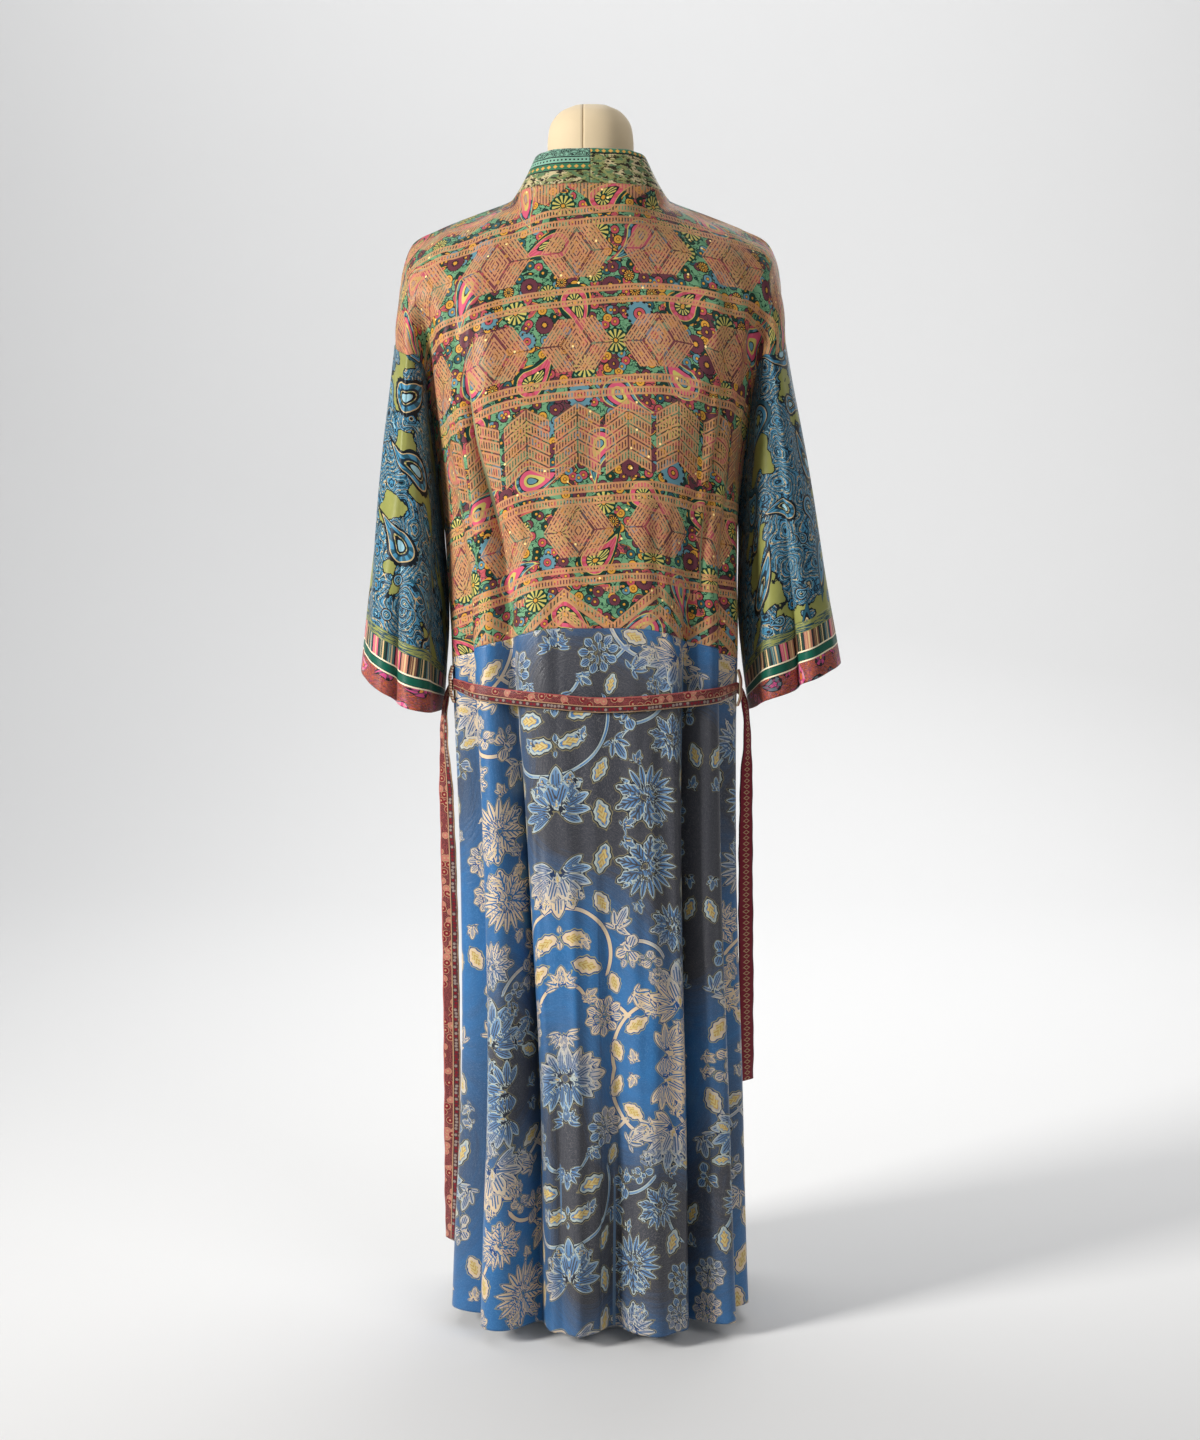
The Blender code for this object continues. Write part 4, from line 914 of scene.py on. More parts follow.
def petals(x, y, flowers):
    """The petal each point lies in. Across a petal, b runs from -1 to 1 and a from 0 to 1 along it; the
    edge field |b| + (2a - 1) squared is 1 all round a pointed petal. Later petals cover earlier ones."""
    best = np.full(x.shape, 3.0)
    local = np.zeros((*x.shape, 2))
    style = np.zeros(x.shape)
    for kind, at_x, at_y, turn, size in flowers:
        size *= 1.18 if size < 0.030 else 1.0
        for angle, start, long, wide, look in FLOWERS[kind]:
            way = np.radians(turn + angle)
            ahead, aside = np.sin(way), np.cos(way)
            pick = np.nonzero((np.abs(x - at_x) < 1.5 * size) & (np.abs(y - at_y) < 1.5 * size))
            dx, dy = (x[pick] - at_x) / size, (y[pick] - at_y) / size
            a = (dx * ahead + dy * aside - start) / long
            b = (dx * aside - dy * ahead) / wide
            a = np.sign(a) * np.abs(a) ** (0.8 if look == 3 else 1.25 if look == 0 else 1.0)
            edge = np.abs(b) + (2 * a - 1) ** 2
            if look in (1, 3):
                edge = edge + 0.10 * np.sin(a * 26) * (np.abs(a) < 1.1)
            take = (edge < 1) | (edge < best[pick])
            take &= (edge < 1) | (best[pick] > 1)
            pick = tuple(p[take] for p in pick)
            best[pick] = edge[take]
            local[pick] = np.stack([b[take], a[take]], 1)
            style[pick] = look
    return np.concatenate([local, np.minimum(best, 3)[..., None]], 2), style


def vines(x, y, arcs):
    """Distance from the nearest vine, in metres, below zero inside its curve."""
    best = np.full(x.shape, 1.0)
    for at_x, at_y, radius, start, stop in arcs:
        dx, dy = x - at_x, y - at_y
        turn = np.degrees(np.arctan2(dy, dx))
        middle = (start + stop) / 2
        past = np.abs((turn - middle + 180) % 360 - 180) - (stop - start) / 2
        gap = np.hypot(dx, dy) - radius
        beyond = np.maximum(past, 0) * np.pi / 180 * radius
        gap = np.where(gap < 0, -1, 1) * np.hypot(gap, beyond)
        best = np.where(np.abs(gap) < np.abs(best), gap, best)
    return np.where(np.abs(best) > 0.006, np.sign(best), best)


def flower_print(place):
    """The skirt's print: blue to charcoal ground, and cream or pale blue petals, leaves and vines."""
    vector, _ = read(place, "cloth")
    patch = xyz(vector)[2]
    figure, _ = read(place, "figure")
    b, a, edge = xyz(figure)
    _, style = read(place, "sort")
    _, vine = read(place, "vine")
    style = (style + 0.5).whole()
    grain = noise(vector, 700.0, 2.0)
    dark = (patch + noise(vector, 26.0, 3.0) * 0.5 - 0.25).most(0.0).least(1.0)
    blue = mix(grain, rgb(30, 86, 140), rgb(54, 114, 166))
    charcoal = mix(grain, rgb(38, 41, 49), rgb(72, 73, 80))
    scroll = noise(vector, 210.0, 1.0).near(0.5, 0.030)
    blue = mix(scroll * 0.35, blue, rgb(66, 126, 180))
    ground = mix(dark, blue, mix(scroll * 0.5, charcoal, rgb(108, 106, 108)))
    dark = (dark - 0.2).most(0.0).least(0.6) / 0.6
    cream, pale = rgb(206, 184, 152), rgb(168, 178, 172)
    sky, ochre = rgb(66, 112, 160), rgb(176, 140, 76)
    fill = mix(dark, cream, mix(a * a, sky, rgb(128, 154, 176)))
    rim = mix(dark, cream, pale)
    side = abs(b)
    # Fine lines along broad petals, chevron ribs on ribbed leaves, an ochre spine in the leaves
    lines = side.near(0.0, 0.10) + side.near(0.36, 0.08) * (a < 0.66)
    lines = lines * (style < 0.5) * (a < 0.78) * (a > 0.06)
    ribs = (((a - side * 0.42) * 5.2).part() < 0.42) * (style > 2.5) * (edge < 0.72)
    lines = lines.most(ribs).most((side < 0.10) * (style > 2.5) * (a < 0.9))
    lines = lines.most((side < 0.20) * style.near(2.0, 0.5) * (a > 0.16) * (a < 0.84))
    spine = ((edge + (a * 38.0).sine() * 0.07) < 0.44) * style.near(1.0, 0.5)
    vein = (((a - side * 0.5) * 6.0).part() < 0.4) * spine
    shape = mix((edge + style.near(1.0, 0.5) * 0.10) > 0.68, fill, rim)
    shape = mix(lines, shape, ground)
    shape = mix(spine, shape, mix(vein, rgb(196, 178, 120), ochre))
    colour = mix((edge < 1.13) * (edge > 1.0), ground, mix(dark, rgb(150, 148, 112), rgb(120, 112, 84)))
    colour = mix(abs(vine) < 0.0030, colour, mix(dark, rgb(28, 74, 130), rgb(34, 40, 54)))
    colour = mix(abs(vine) < 0.0021, colour, rim)
    colour = mix(abs(vine - 0.0004) < 0.0011, colour, fill)
    colour = mix(edge < 1.0, colour, mix(dark, rgb(24, 70, 128), rgb(30, 36, 50)))
    return mix(edge < 0.85, colour, shape)


flower_silk = silk("printed_silk_flowers", flower_print, 0.36, 0.0004, shine=0.40)
flower_back = wrong_side("flower_silk_wrong_side", rgb(96, 124, 154))
MIRROR_U = -0.049  # a mirror line down the cloth, from the centre back
MIRROR_V = 0.243   # a mirror line across it, from the waist seam
MIRROR_GAPS = (0.220, 0.280)
# Charcoal patches: u, v below the waist, reach across, reach down, strength
PATCHES = (
    (-0.03, 0.07, 0.09, 0.09, 1.3), (0.09, 0.13, 0.07, 0.07, 1.2), (0.10, 0.25, 0.09, 0.12, 1.4),
    (-0.04, 0.22, 0.08, 0.08, 1.1), (0.16, 0.34, 0.06, 0.10, 1.0), (-0.17, 0.50, 0.06, 0.12, 1.2),
    (-0.05, 0.58, 0.05, 0.10, 1.0), (0.09, 0.72, 0.11, 0.11, 1.4), (-0.03, 0.74, 0.05, 0.09, 1.1),
    (-0.26, 0.14, 0.06, 0.10, 0.9), (0.25, 0.62, 0.07, 0.12, 1.0), (0.28, 0.16, 0.07, 0.12, 1.0),
    (0.17, 0.18, 0.05, 0.14, 0.9), (-0.34, 0.60, 0.09, 0.14, 0.9), (0.40, 0.50, 0.08, 0.14, 0.9),
)


def flower_fields(u, v, slope, shift):
    """The fields of the flower print on a panel, its mirror line across it sloping gently."""
    x = folded(u, MIRROR_U + shift, MIRROR_GAPS[0])
    y = folded(v + slope * u, MIRROR_V, MIRROR_GAPS[1])
    figure, style = petals(x, y, FIELD)
    patch = sum(s * np.exp(-((u - a) / ru) ** 2 - ((v - b) / rv) ** 2) for a, b, ru, rv, s in PATCHES)
    vine = vines(x, y, VINES)
    return {"cloth": np.stack([u, v, patch], 2), "figure": figure, "sort": style, "vine": vine}


coarse_columns = np.linspace(-SIDE_U, SIDE_U, 900)
coarse_levels = np.linspace(WAIST, HEM, 60)
coarse = back_grid(coarse_columns, coarse_levels)
# The columns lie evenly along the cloth, on the mean of a row half way down and one near the hem
skirt_columns = (evened(coarse[30], coarse_columns, 307) + evened(coarse[52], coarse_columns, 307)) / 2
skirt_levels = evened(coarse[:, 450], coarse_levels, 280)
skirt = back_grid(skirt_columns, skirt_levels)
middle = int(np.argmin(np.abs(skirt_columns)))
fields = flower_fields(lengths(skirt, 1, middle), lengths(skirt, 0), 0.12, 0.0)
piece = wall("back_of_the_skirt", skirt, CLOTH, fields, (flower_silk, flower_back))
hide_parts("back_skirt")
lower_levels = np.linspace(split - 1, len(down) - 1, 3 * ((len(down) - split) // 3) + 1)
lower_levels = np.interp(lower_levels, np.arange(len(down)), down)
lower_levels = WAIST + (lower_levels - lower_levels[0]) * (HEM - WAIST) / (HEM - lower_levels[0])
for side, word in ((-1, "left"), (1, "right")):
    grid = front_grid(side, front_columns, lower_levels)
    u, v = lengths(grid, 1), lengths(grid, 0)
    fields = flower_fields(u, v, 0.0, 0.10 + 0.05 * side)
    piece = wall("front_of_the_skirt_" + word, grid, CLOTH, fields, (flower_silk, flower_back))
    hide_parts("front_skirt_" + word)

# ---- Sleeves ----------------------------------------------------------------------------------
# Wide tubes of chartreuse silk crowded with teal and navy paisleys, set into the dropped armholes.
# They hang straight and flare to the cuff, with one deep fold along the back of each. Their borders,
# the strips at the cuffs, are cut from another silk.

# Cuff openings: near x, far x, near z, far z, half depth, how late the rise to the far side comes
CUFFS = {-1: (0.183, 0.277, 0.747, 0.797, 0.084, 1.6), 1: (0.196, 0.301, 0.747, 0.806, 0.085, 0.7)}
BORDER = 0.815  # how far down the sleeve its border starts, as a share of its length
ROUND = 20      # places round a sleeve: 0 and 20 at the underarm, 10 on the shoulder
# Folds: place round in twentieths from the underarm over the back, depth at seam and cuff, half width
SLEEVE_FOLDS = {
    -1: ((3.2, -0.002, -0.008, 1.2), (5.0, 0.000, 0.016, 1.0), (13.2, 0.002, 0.016, 1.1),
         (16.5, 0.0, -0.006, 1.2)),
    1: ((3.0, -0.002, -0.010, 1.2), (4.6, 0.002, 0.026, 0.9), (13.6, 0.002, 0.016, 1.1),
        (16.5, 0.0, -0.006, 1.2)),
}
# Small creases: place round, share down, half width round, half length, slant round, depth
SLEEVE_CREASES = (
    (7.0, 0.25, 0.45, 0.22, 1.0, 0.0020), (8.6, 0.45, 0.60, 0.30, -0.6, -0.0026),
    (6.3, 0.60, 0.45, 0.25, 0.8, 0.0026), (10.4, 0.35, 0.55, 0.30, 0.5, 0.0022),
    (9.4, 0.80, 0.50, 0.20, 0.4, 0.0026), (7.7, 0.85, 0.45, 0.18, -0.5, -0.0020),
    (12.0, 0.55, 0.60, 0.28, -0.8, -0.0024), (14.8, 0.45, 0.60, 0.30, 0.7, 0.0026),
    (2.0, 0.60, 0.45, 0.30, 0.5, 0.0028), (17.5, 0.70, 0.50, 0.25, -0.5, 0.0024),
    (5.8, 0.12, 0.50, 0.12, 1.4, 0.0024), (11.6, 0.12, 0.50, 0.12, -1.2, 0.0020),
    (8.0, 0.10, 0.60, 0.10, 1.0, 0.0016), (3.9, 0.86, 0.40, 0.14, 0.0, 0.0022),
    (-0.2, 0.60, 2.00, 0.42, 0.0, -0.0100),
)


def sleeve_grid(side, around, shares):
    """A tube of straight threads from the armhole to the cuff, its folds bell curves round the tube that
    deepen evenly towards the cuff."""
    half = ROUND / 2
    level = np.abs(around - half) / 2
    back = side_edge(side, level)
    front = cloth(front_rows(side), NET_U[2:], np.full((len(level), 1), SIDE_U), level)[:, 0]
    ring = np.where((around <= half)[:, None], back, front) + np.array([side * 0.0008, 0, 0])
    near, far, near_z, far_z, depth, late = CUFFS[side]
    turn = around * 2 * np.pi / ROUND
    out = (1 - np.cos(turn)) / 2
    rise = near_z + (far_z - near_z) * out ** late
    cuff = np.stack([side * (near + (far - near) * out), -depth * np.sin(turn), rise], 1)
    share = shares[:, None, None]
    grid = ring[None] * (1 - share) + cuff[None] * share
    turned_way = slice(None, None, -1) if side < 0 else slice(None)
    grid, place = grid[:, turned_way], around[turned_way]
    total = np.zeros(grid.shape[:2])
    for centre, top, bottom, wide in SLEEVE_FOLDS[side]:
        gap = ((place - centre + half) % ROUND - half) / wide
        depth = (top + (bottom - top) * shares) * np.clip(shares / 0.15, 0, 1)
        total += depth[:, None] * np.exp(-gap ** 2)[None]
    for centre, down, wide, long, slant, depth in SLEEVE_CREASES:
        along = (shares - down)[:, None]
        gap = ((place[None] - centre - side * 0.3 - slant * along + half) % ROUND - half) / wide
        total += depth * np.exp(-gap ** 2 - (along / long) ** 2)
    total += 0.0007 * np.clip(shares * 4, 0, 1)[:, None] * np.sin(place * 2.1 + 5 * shares[:, None] ** 2)
    return grid - normals(grid, True) * total[..., None]


def paisley_print(place):
    """The sleeves' print: chartreuse ground, navy and teal filigree, blue paisleys with tan outlines."""
    vector, _ = read(place, "cloth")
    green, moss = rgb(150, 150, 84), rgb(122, 126, 66)
    navy, night, teal = rgb(20, 38, 52), rgb(12, 20, 28), rgb(34, 80, 98)
    blue, light, tan = rgb(66, 128, 160), rgb(138, 178, 190), rgb(190, 166, 122)
    flow = noise(vector, 22.0, 1.0)
    fine = noise(vector, 130.0, 2.0)
    lanes = (flow * 16.0 + fine * 0.25).part()
    ground = ramp(lanes, [(0.0, navy), (0.08, blue), (0.34, tan), (0.40, night), (0.46, teal),
                          (0.64, light), (0.70, navy), (0.76, blue), (0.94, night)])
    hatched = lanes.near(0.20, 0.10).most(lanes.near(0.83, 0.07))
    ground = mix(fine.near(0.5, 0.045) * hatched, ground, navy)
    gap, _ = cells(vector, 190.0)
    ground = mix((gap < 0.26) * lanes.near(0.53, 0.09), ground, tan)
    hole = noise(vector, 15.0, 2.0) + fine * 0.08
    ground = mix(hole > 0.590, ground, night)
    ground = mix(hole > 0.604, ground, mix(noise(vector, 40.0), moss, green))
    bands = (
        ((0.0, green), (0.16, navy), (0.22, light), (0.36, navy), (0.42, blue), (0.62, tan), (0.66, night),
         (0.74, teal), (0.94, night)),
        ((0.0, tan), (0.14, night), (0.22, teal), (0.46, night), (0.54, blue), (0.74, tan), (0.78, night)),
        ((0.0, light), (0.20, night), (0.30, tan), (0.34, navy), (0.46, blue), (0.70, tan), (0.76, night)),
        ((0.0, navy), (0.22, tan), (0.30, navy), (0.44, blue), (0.84, night)),
    )
    other = (
        ((0.0, green), (0.16, navy), (0.22, teal), (0.36, navy), (0.42, blue), (0.62, tan), (0.66, night),
         (0.74, teal), (0.94, night)),
        ((0.0, tan), (0.14, night), (0.22, light), (0.38, night), (0.54, blue), (0.74, tan), (0.78, night)),
        ((0.0, light), (0.20, night), (0.30, moss), (0.34, navy), (0.46, teal), (0.70, tan), (0.76, night)),
        ((0.0, navy), (0.22, tan), (0.30, navy), (0.44, blue), (0.70, night)),
    )
    return rosettes(place, ground, 9.0, bands, other)


def border_print(place):
    """The sleeve's border, from its seam to its edge: a row of upright motifs, a green stripe between
    cream lines, and orange with magenta flowers and grey leaves."""
    vector, _ = read(place, "cloth")
    u, _, share = xyz(vector)
    ink, cream, green = rgb(26, 30, 34), rgb(234, 222, 190), rgb(12, 84, 66)
    orange, rust = rgb(204, 104, 52), rgb(172, 76, 44)
    pillar = ((u / 0.0115).part() * 3.0 + (u / 0.0115).whole() * 2.0).part()
    tone = ((u / 0.0115).whole() * 0.37).part()
    row = ramp(tone, [(0.0, rgb(110, 74, 58)), (0.22, rgb(206, 92, 118)), (0.42, rgb(30, 62, 50)),
                      (0.62, rgb(176, 120, 96)), (0.82, rgb(70, 108, 112))])
    x = abs((u / 0.0115).part() - 0.5)
    row = mix((x < 0.20) * (pillar > 0.5), row, rgb(208, 176, 128))
    row = mix(x > 0.40, row, ink)
    magenta, grey, mauve = rgb(190, 70, 122), rgb(92, 102, 110), rgb(118, 68, 92)
    fine = noise(vector, 190.0, 2.0)
    lanes = (noise(vector, 34.0, 1.0) * 9.0 + fine * 0.3).part()
    ground = ramp(lanes, [(0.0, orange), (0.30, ink), (0.34, magenta), (0.46, ink), (0.50, grey),
                          (0.62, ink), (0.65, rust), (0.90, ink), (0.93, mauve)])
    ground = mix(fine.near(0.5, 0.03), ground, ink)
    bands = (
        ((0.0, rgb(226, 152, 70)), (0.20, ink), (0.28, magenta), (0.84, ink)),
        ((0.0, mauve), (0.30, ink), (0.38, grey), (0.82, ink)),
        ((0.0, orange), (0.30, ink), (0.38, rgb(206, 126, 142)), (0.84, grey)),
    )
    other = (
        ((0.0, rgb(226, 152, 70)), (0.20, ink), (0.28, mauve), (0.62, ink)),
        ((0.0, magenta), (0.30, ink), (0.38, mauve), (0.66, ink)),
        ((0.0, orange), (0.30, ink), (0.38, magenta), (0.84, ink)),
    )
    florals = rosettes(place, ground, 5.0, bands, other)
    colour = mix(share > 0.60, row, florals)
    colour = mix(share.near(0.560, 0.095), colour, cream)
    colour = mix(share.near(0.560, 0.070), colour, ink)
    colour = mix(share.near(0.560, 0.060), colour, green)
    return mix(share < 0.17, colour, mix(noise(vector, 60.0) > 0.52, rgb(136, 140, 78), rgb(30, 66, 84)))


olive_silk = silk("printed_silk_chartreuse", paisley_print, 0.40, 0.0004)
olive_back = wrong_side("chartreuse_silk_wrong_side", rgb(120, 126, 88))
border_silk = silk("printed_silk_border", border_print, 0.40, 0.0003)
border_back = wrong_side("border_silk_wrong_side", rgb(160, 104, 74))
SLEEVE_SIZES = ((0.0230, 60, 1.0, (0, 2)), (0.0150, 150, 0.9, (0, 1, 2)), (0.0080, 260, 0.3, (1, 3)))
BORDER_SIZES = ((0.0100, 120, 1.0, (0, 1, 2)), (0.0060, 160, 1.0, (0, 1, 2)))
around = np.linspace(0, ROUND, 199)[:-1]
shares = np.linspace(0, BORDER, 142)
border_shares = np.linspace(BORDER, 1, 34)
for side, word in ((-1, "left"), (1, "right")):
    grid = sleeve_grid(side, around, np.concatenate([shares, border_shares[1:]]))
    u, v = lengths(grid, 1), lengths(grid, 0)
    joint = len(shares) - 1
    marks = scatter(21 + side, (-0.02, 0.48, -0.02, 0.38), SLEEVE_SIZES)
    figure, sort = figures(u[:joint + 1], v[:joint + 1], marks)
    fields = {"cloth": np.stack([u, v, 0 * v], 2)[:joint + 1], "figure": figure, "sort": sort}
    ways = normals(grid, True)
    piece = wall("sleeve_" + word + "_cloth", grid[:joint + 1], CLOTH, fields, (olive_silk, olive_back),
                 True, ways=ways[:joint + 1])
    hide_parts("sleeve_" + word)
    marks = scatter(31 + side, (-0.02, 0.48, 0.040, 0.10), BORDER_SIZES)
    figure, sort = figures(u[joint:], v[joint:] - v[joint:joint + 1], marks)
    down = np.broadcast_to(((border_shares - BORDER) / (1 - BORDER))[:, None], u[joint:].shape)
    fields = {"cloth": np.stack([u[joint:], v[joint:], down], 2), "figure": figure, "sort": sort}
    piece = wall("sleeve_border_" + word, grid[joint:], CLOTH, fields, (border_silk, border_back), True,
                 ways=ways[joint:])
    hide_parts("cuff_" + word)

# ---- Neckband ---------------------------------------------------------------------------------
# Two long straight strips of silk, folded double to 50 mm wide, joined at the centre back and sewn
# along the neck and both front edges. The left one is mint with a black vine and a strip of gold
# lozenges above brushed olive; the right one olive with the lozenges only along its fold.
BAND = 0.0024  # its two layers together
BAND_LEAN = (  # height of the seam, direction x, y, z, width
    (0.0200, -0.996, 0.06, 0.00, 0.050), (1.0000, -0.996, 0.05, 0.00, 0.050),
    (1.1500, -0.99, 0.06, 0.08, 0.050), (1.2500, -0.96, 0.02, 0.28, 0.050),
    (1.3200, -0.80, -0.12, 0.60, 0.047), (1.3520, -0.62, 0.02, 0.78, 0.044),
    (1.3620, -0.22, 0.30, 0.92, 0.043), (1.3655, 0.00, 0.35, 0.94, 0.043),
)


def band_grid(edge, across):
    """The neckband from its seam to its fold: straight across, leaning as the table says at each height
    of the seam, with a slow ripple that grows towards the fold."""
    rows = curve(BAND_LEAN, edge[:, 2])
    way = rows[:, :3] / np.linalg.norm(rows[:, :3], axis=1, keepdims=True)
    way[:, 0] *= np.where(edge[:, 0] < 0, -1, 1) * np.clip(np.abs(edge[:, 0]) / 0.02, 0, 1)
    grid = edge[None] + way[None] * rows[None, :, 3:] * across[:, None, None]
    run = run_along(edge)
    ripple = np.sin(run * 60) + 0.7 * np.sin(run * 151 + 1) + 0.5 * np.sin(run * 290)
    ripple *= 0.0007 * np.clip((run - 0.02) / 0.05, 0.4, 1)
    grid = grid + way[None] * ripple[None, :, None] * across[:, None, None] ** 2
    return grid, run


def band_print(place, mint_side):
    """The neckband's print, from its seam up to its fold; mint_side is True for the left one."""
    vector, _ = read(place, "cloth")
    u, _, share = xyz(vector)
    ink, mint, green, gold = rgb(20, 26, 28), rgb(132, 178, 156), rgb(58, 116, 84), rgb(212, 160, 78)
    stretched = vector.node("ShaderNodeMapping")
    stretched.inputs["Scale"].default_value = (1.0, 1.7, 0.0)
    plug(vector, stretched.inputs["Vector"])
    brushed = Wire(stretched.outputs[0])
    olive = mix(noise(brushed, 90.0, 3.0) > 0.5, rgb(92, 120, 84), rgb(136, 140, 88))
    pale = noise(brushed, 62.0, 3.0, 0.6) + abs(u).least(0.12) * 0.9
    olive = mix(pale > 0.56, olive, rgb(196, 180, 140))
    smudge = noise(brushed, 120.0, 3.0, 0.6)
    olive = mix(smudge > 0.535, olive, rgb(84, 76, 44))
    olive = mix(smudge > 0.575, olive, rgb(38, 32, 24))
    low, high = (0.36, 0.60) if mint_side else (0.83, 1.01)
    lozenge = abs(wrap(u, 0.0, 0.0085)) / 0.0030 + abs(share - (low + high) / 2) / 0.055
    strip = mix(lozenge < 1.0, green, gold)
    edge = abs(share - (low + high) / 2) > 0.085 if mint_side else share < low + 0.045
    strip = mix(edge, strip, ink)
    colour = mix((share > low) * (share < high), olive, strip)
    if mint_side:
        swirl = noise(brushed, 150.0, 0.0)
        vine = swirl.near(0.5, 0.035).most(swirl.near(0.62, 0.03)).most(swirl.near(0.38, 0.03))
        upper = mix(vine * (share > 0.78), mint, ink)
        dot = (abs(wrap(u, 0.0, 0.0050)) < 0.0011) * share.near(0.67, 0.022)
        upper = mix(dot.most(share.near(0.755, 0.016)), upper, ink)
        colour = mix(share > 0.60, colour, upper)
    return colour


for side, word, slot_name in ((-1, "left", "band_silk_mint"), (1, "right", "band_silk_olive")):
    neck = curve(NECK_SEAM, np.linspace(0, NECK_U, 60))
    neck[:, 0] *= side
    edge = cloth(front_rows(side), NET_U[2:], np.full((400, 1), NECK_U), np.linspace(0, HEM, 400))
    edge = np.concatenate([neck, edge[1:, 0]])
    edge = np.stack([evened(edge, edge[:, k], 640) for k in range(3)], 1)
    across = np.linspace(0, 1, 22)
    grid, run = band_grid(edge, across)
    u = np.broadcast_to(run, grid.shape[:2])
    v = across[:, None] * 0.05 + 0 * u
    share = across[:, None] + 0 * u
    turn = slice(None) if side < 0 else slice(None, None, -1)
    grid, u = grid[:, turn], u[:, turn]
    plump = (1 - np.abs(2 * across - 1) ** 5) ** 0.5 * 0.85 + 0.15
    ways = normals(grid) * plump[:, None, None]
    band_silk = silk(slot_name, lambda place: band_print(place, side < 0), 0.42, 0.0003)
    fields = {"cloth": np.stack([u * side, v, share], 2)}
    piece = wall("neckband_" + word + "_strip", grid, BAND, fields, (band_silk, band_silk), ways=ways)
    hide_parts("neckband_" + word)

# ---- Belt and its loops -----------------------------------------------------------------------
# The robe's own narrow tie of crimson and rose paisley silk, 18 to 23 mm wide, lying across the back
# below the waist seam and hanging untied at both sides, through a striped loop sewn at each side.
BELT_WALL = 0.0016
BELT = (  # x, y, z, width, then the way its width points
    (-0.1735, -0.012, 0.087, 0.023, -0.60, 0.75, -0.28),
    (-0.1705, -0.014, 0.250, 0.023, -0.90, 0.43, 0.00),
    (-0.1705, -0.020, 0.420, 0.022, -0.93, 0.37, 0.00),
    (-0.1720, -0.028, 0.570, 0.021, -0.90, 0.43, 0.00),
    (-0.1745, -0.032, 0.670, 0.019, -0.82, 0.57, 0.00),
    (-0.1760, -0.034, 0.722, 0.015, -0.62, 0.75, 0.10),
    (-0.1740, -0.0365, 0.756, 0.012, -0.45, 0.65, 0.45),
    (-0.1690, -0.0425, 0.775, 0.012, -0.20, 0.35, 0.88),
    (-0.1640, -0.0505, 0.7815, 0.013, -0.05, 0.05, 1.00),
    (-0.1535, -0.0700, 0.7815, 0.015, 0.00, 0.00, 1.00),
    (-0.1335, -0.1050, 0.7790, 0.018, 0.00, 0.00, 1.00),
    (-0.1000, -0.1195, 0.7755, 0.018, 0.00, 0.00, 1.00),
    (-0.0530, -0.1335, 0.7720, 0.018, 0.00, 0.00, 1.00),
    (0.0100, -0.1370, 0.7675, 0.018, 0.00, 0.00, 1.00),
    (0.0620, -0.1350, 0.7690, 0.018, 0.00, 0.00, 1.00),
    (0.0920, -0.1280, 0.7710, 0.018, 0.00, 0.00, 1.00),
    (0.1510, -0.0990, 0.7750, 0.018, 0.00, 0.00, 1.00),
    (0.1665, -0.0700, 0.7770, 0.015, 0.00, 0.00, 1.00),
    (0.1760, -0.0475, 0.7765, 0.013, 0.05, 0.05, 1.00),
    (0.1805, -0.0395, 0.7700, 0.012, 0.20, 0.35, 0.88),
    (0.1850, -0.0345, 0.7520, 0.012, 0.45, 0.65, 0.45),
    (0.1875, -0.0325, 0.7220, 0.015, 0.62, 0.75, 0.10),
    (0.1870, -0.0310, 0.6700, 0.018, 0.82, 0.57, 0.00),
    (0.1870, -0.0280, 0.5700, 0.020, 0.88, 0.47, 0.00),
    (0.1888, -0.0220, 0.4300, 0.021, 0.88, 0.47, 0.00),
    (0.1910, -0.0160, 0.2900, 0.021, 0.80, 0.55, 0.28),
)
LOOPS = (  # top and bottom where they are sewn, the way out, stand-off
    ("left", (-0.1625, -0.0475, 0.8040), (-0.1610, -0.0484, 0.7600), (-0.88, -0.48), 0.0061),
    ("right", (0.1734, -0.0453, 0.7995), (0.1732, -0.0455, 0.7555), (0.89, -0.45), 0.0058),
)


def ribbon(table, count, across):
    """A flat strip down a smooth path through a table: its width points as the table says, squared to the
    path, with a slight crown and a slow ripple along its edges."""
    table = np.asarray(table, float)
    run = run_along(table[:, :3])
    at = np.linspace(0, run[-1], count)
    fine = through(run, table, at)
    path, width, way = fine[:, :3], fine[:, 3:4], fine[:, 4:7]
    tangent = np.gradient(path, axis=0)
    tangent /= np.linalg.norm(tangent, axis=1, keepdims=True)
    way = way - tangent * np.sum(way * tangent, axis=1, keepdims=True)
    way /= np.linalg.norm(way, axis=1, keepdims=True)
    out = np.cross(tangent, way)
    ripple = 0.0005 * np.sin(at * 75) + 0.0004 * np.sin(at * 173 + 1)
    grid = path[None] + way[None] * width[None] * (-across[:, None, None])
    crown = 0.0005 * (1 - 4 * across[:, None] ** 2)
    grid = grid + out[None] * (ripple[None] * across[:, None] * 2 + crown)[..., None]
    return grid, at


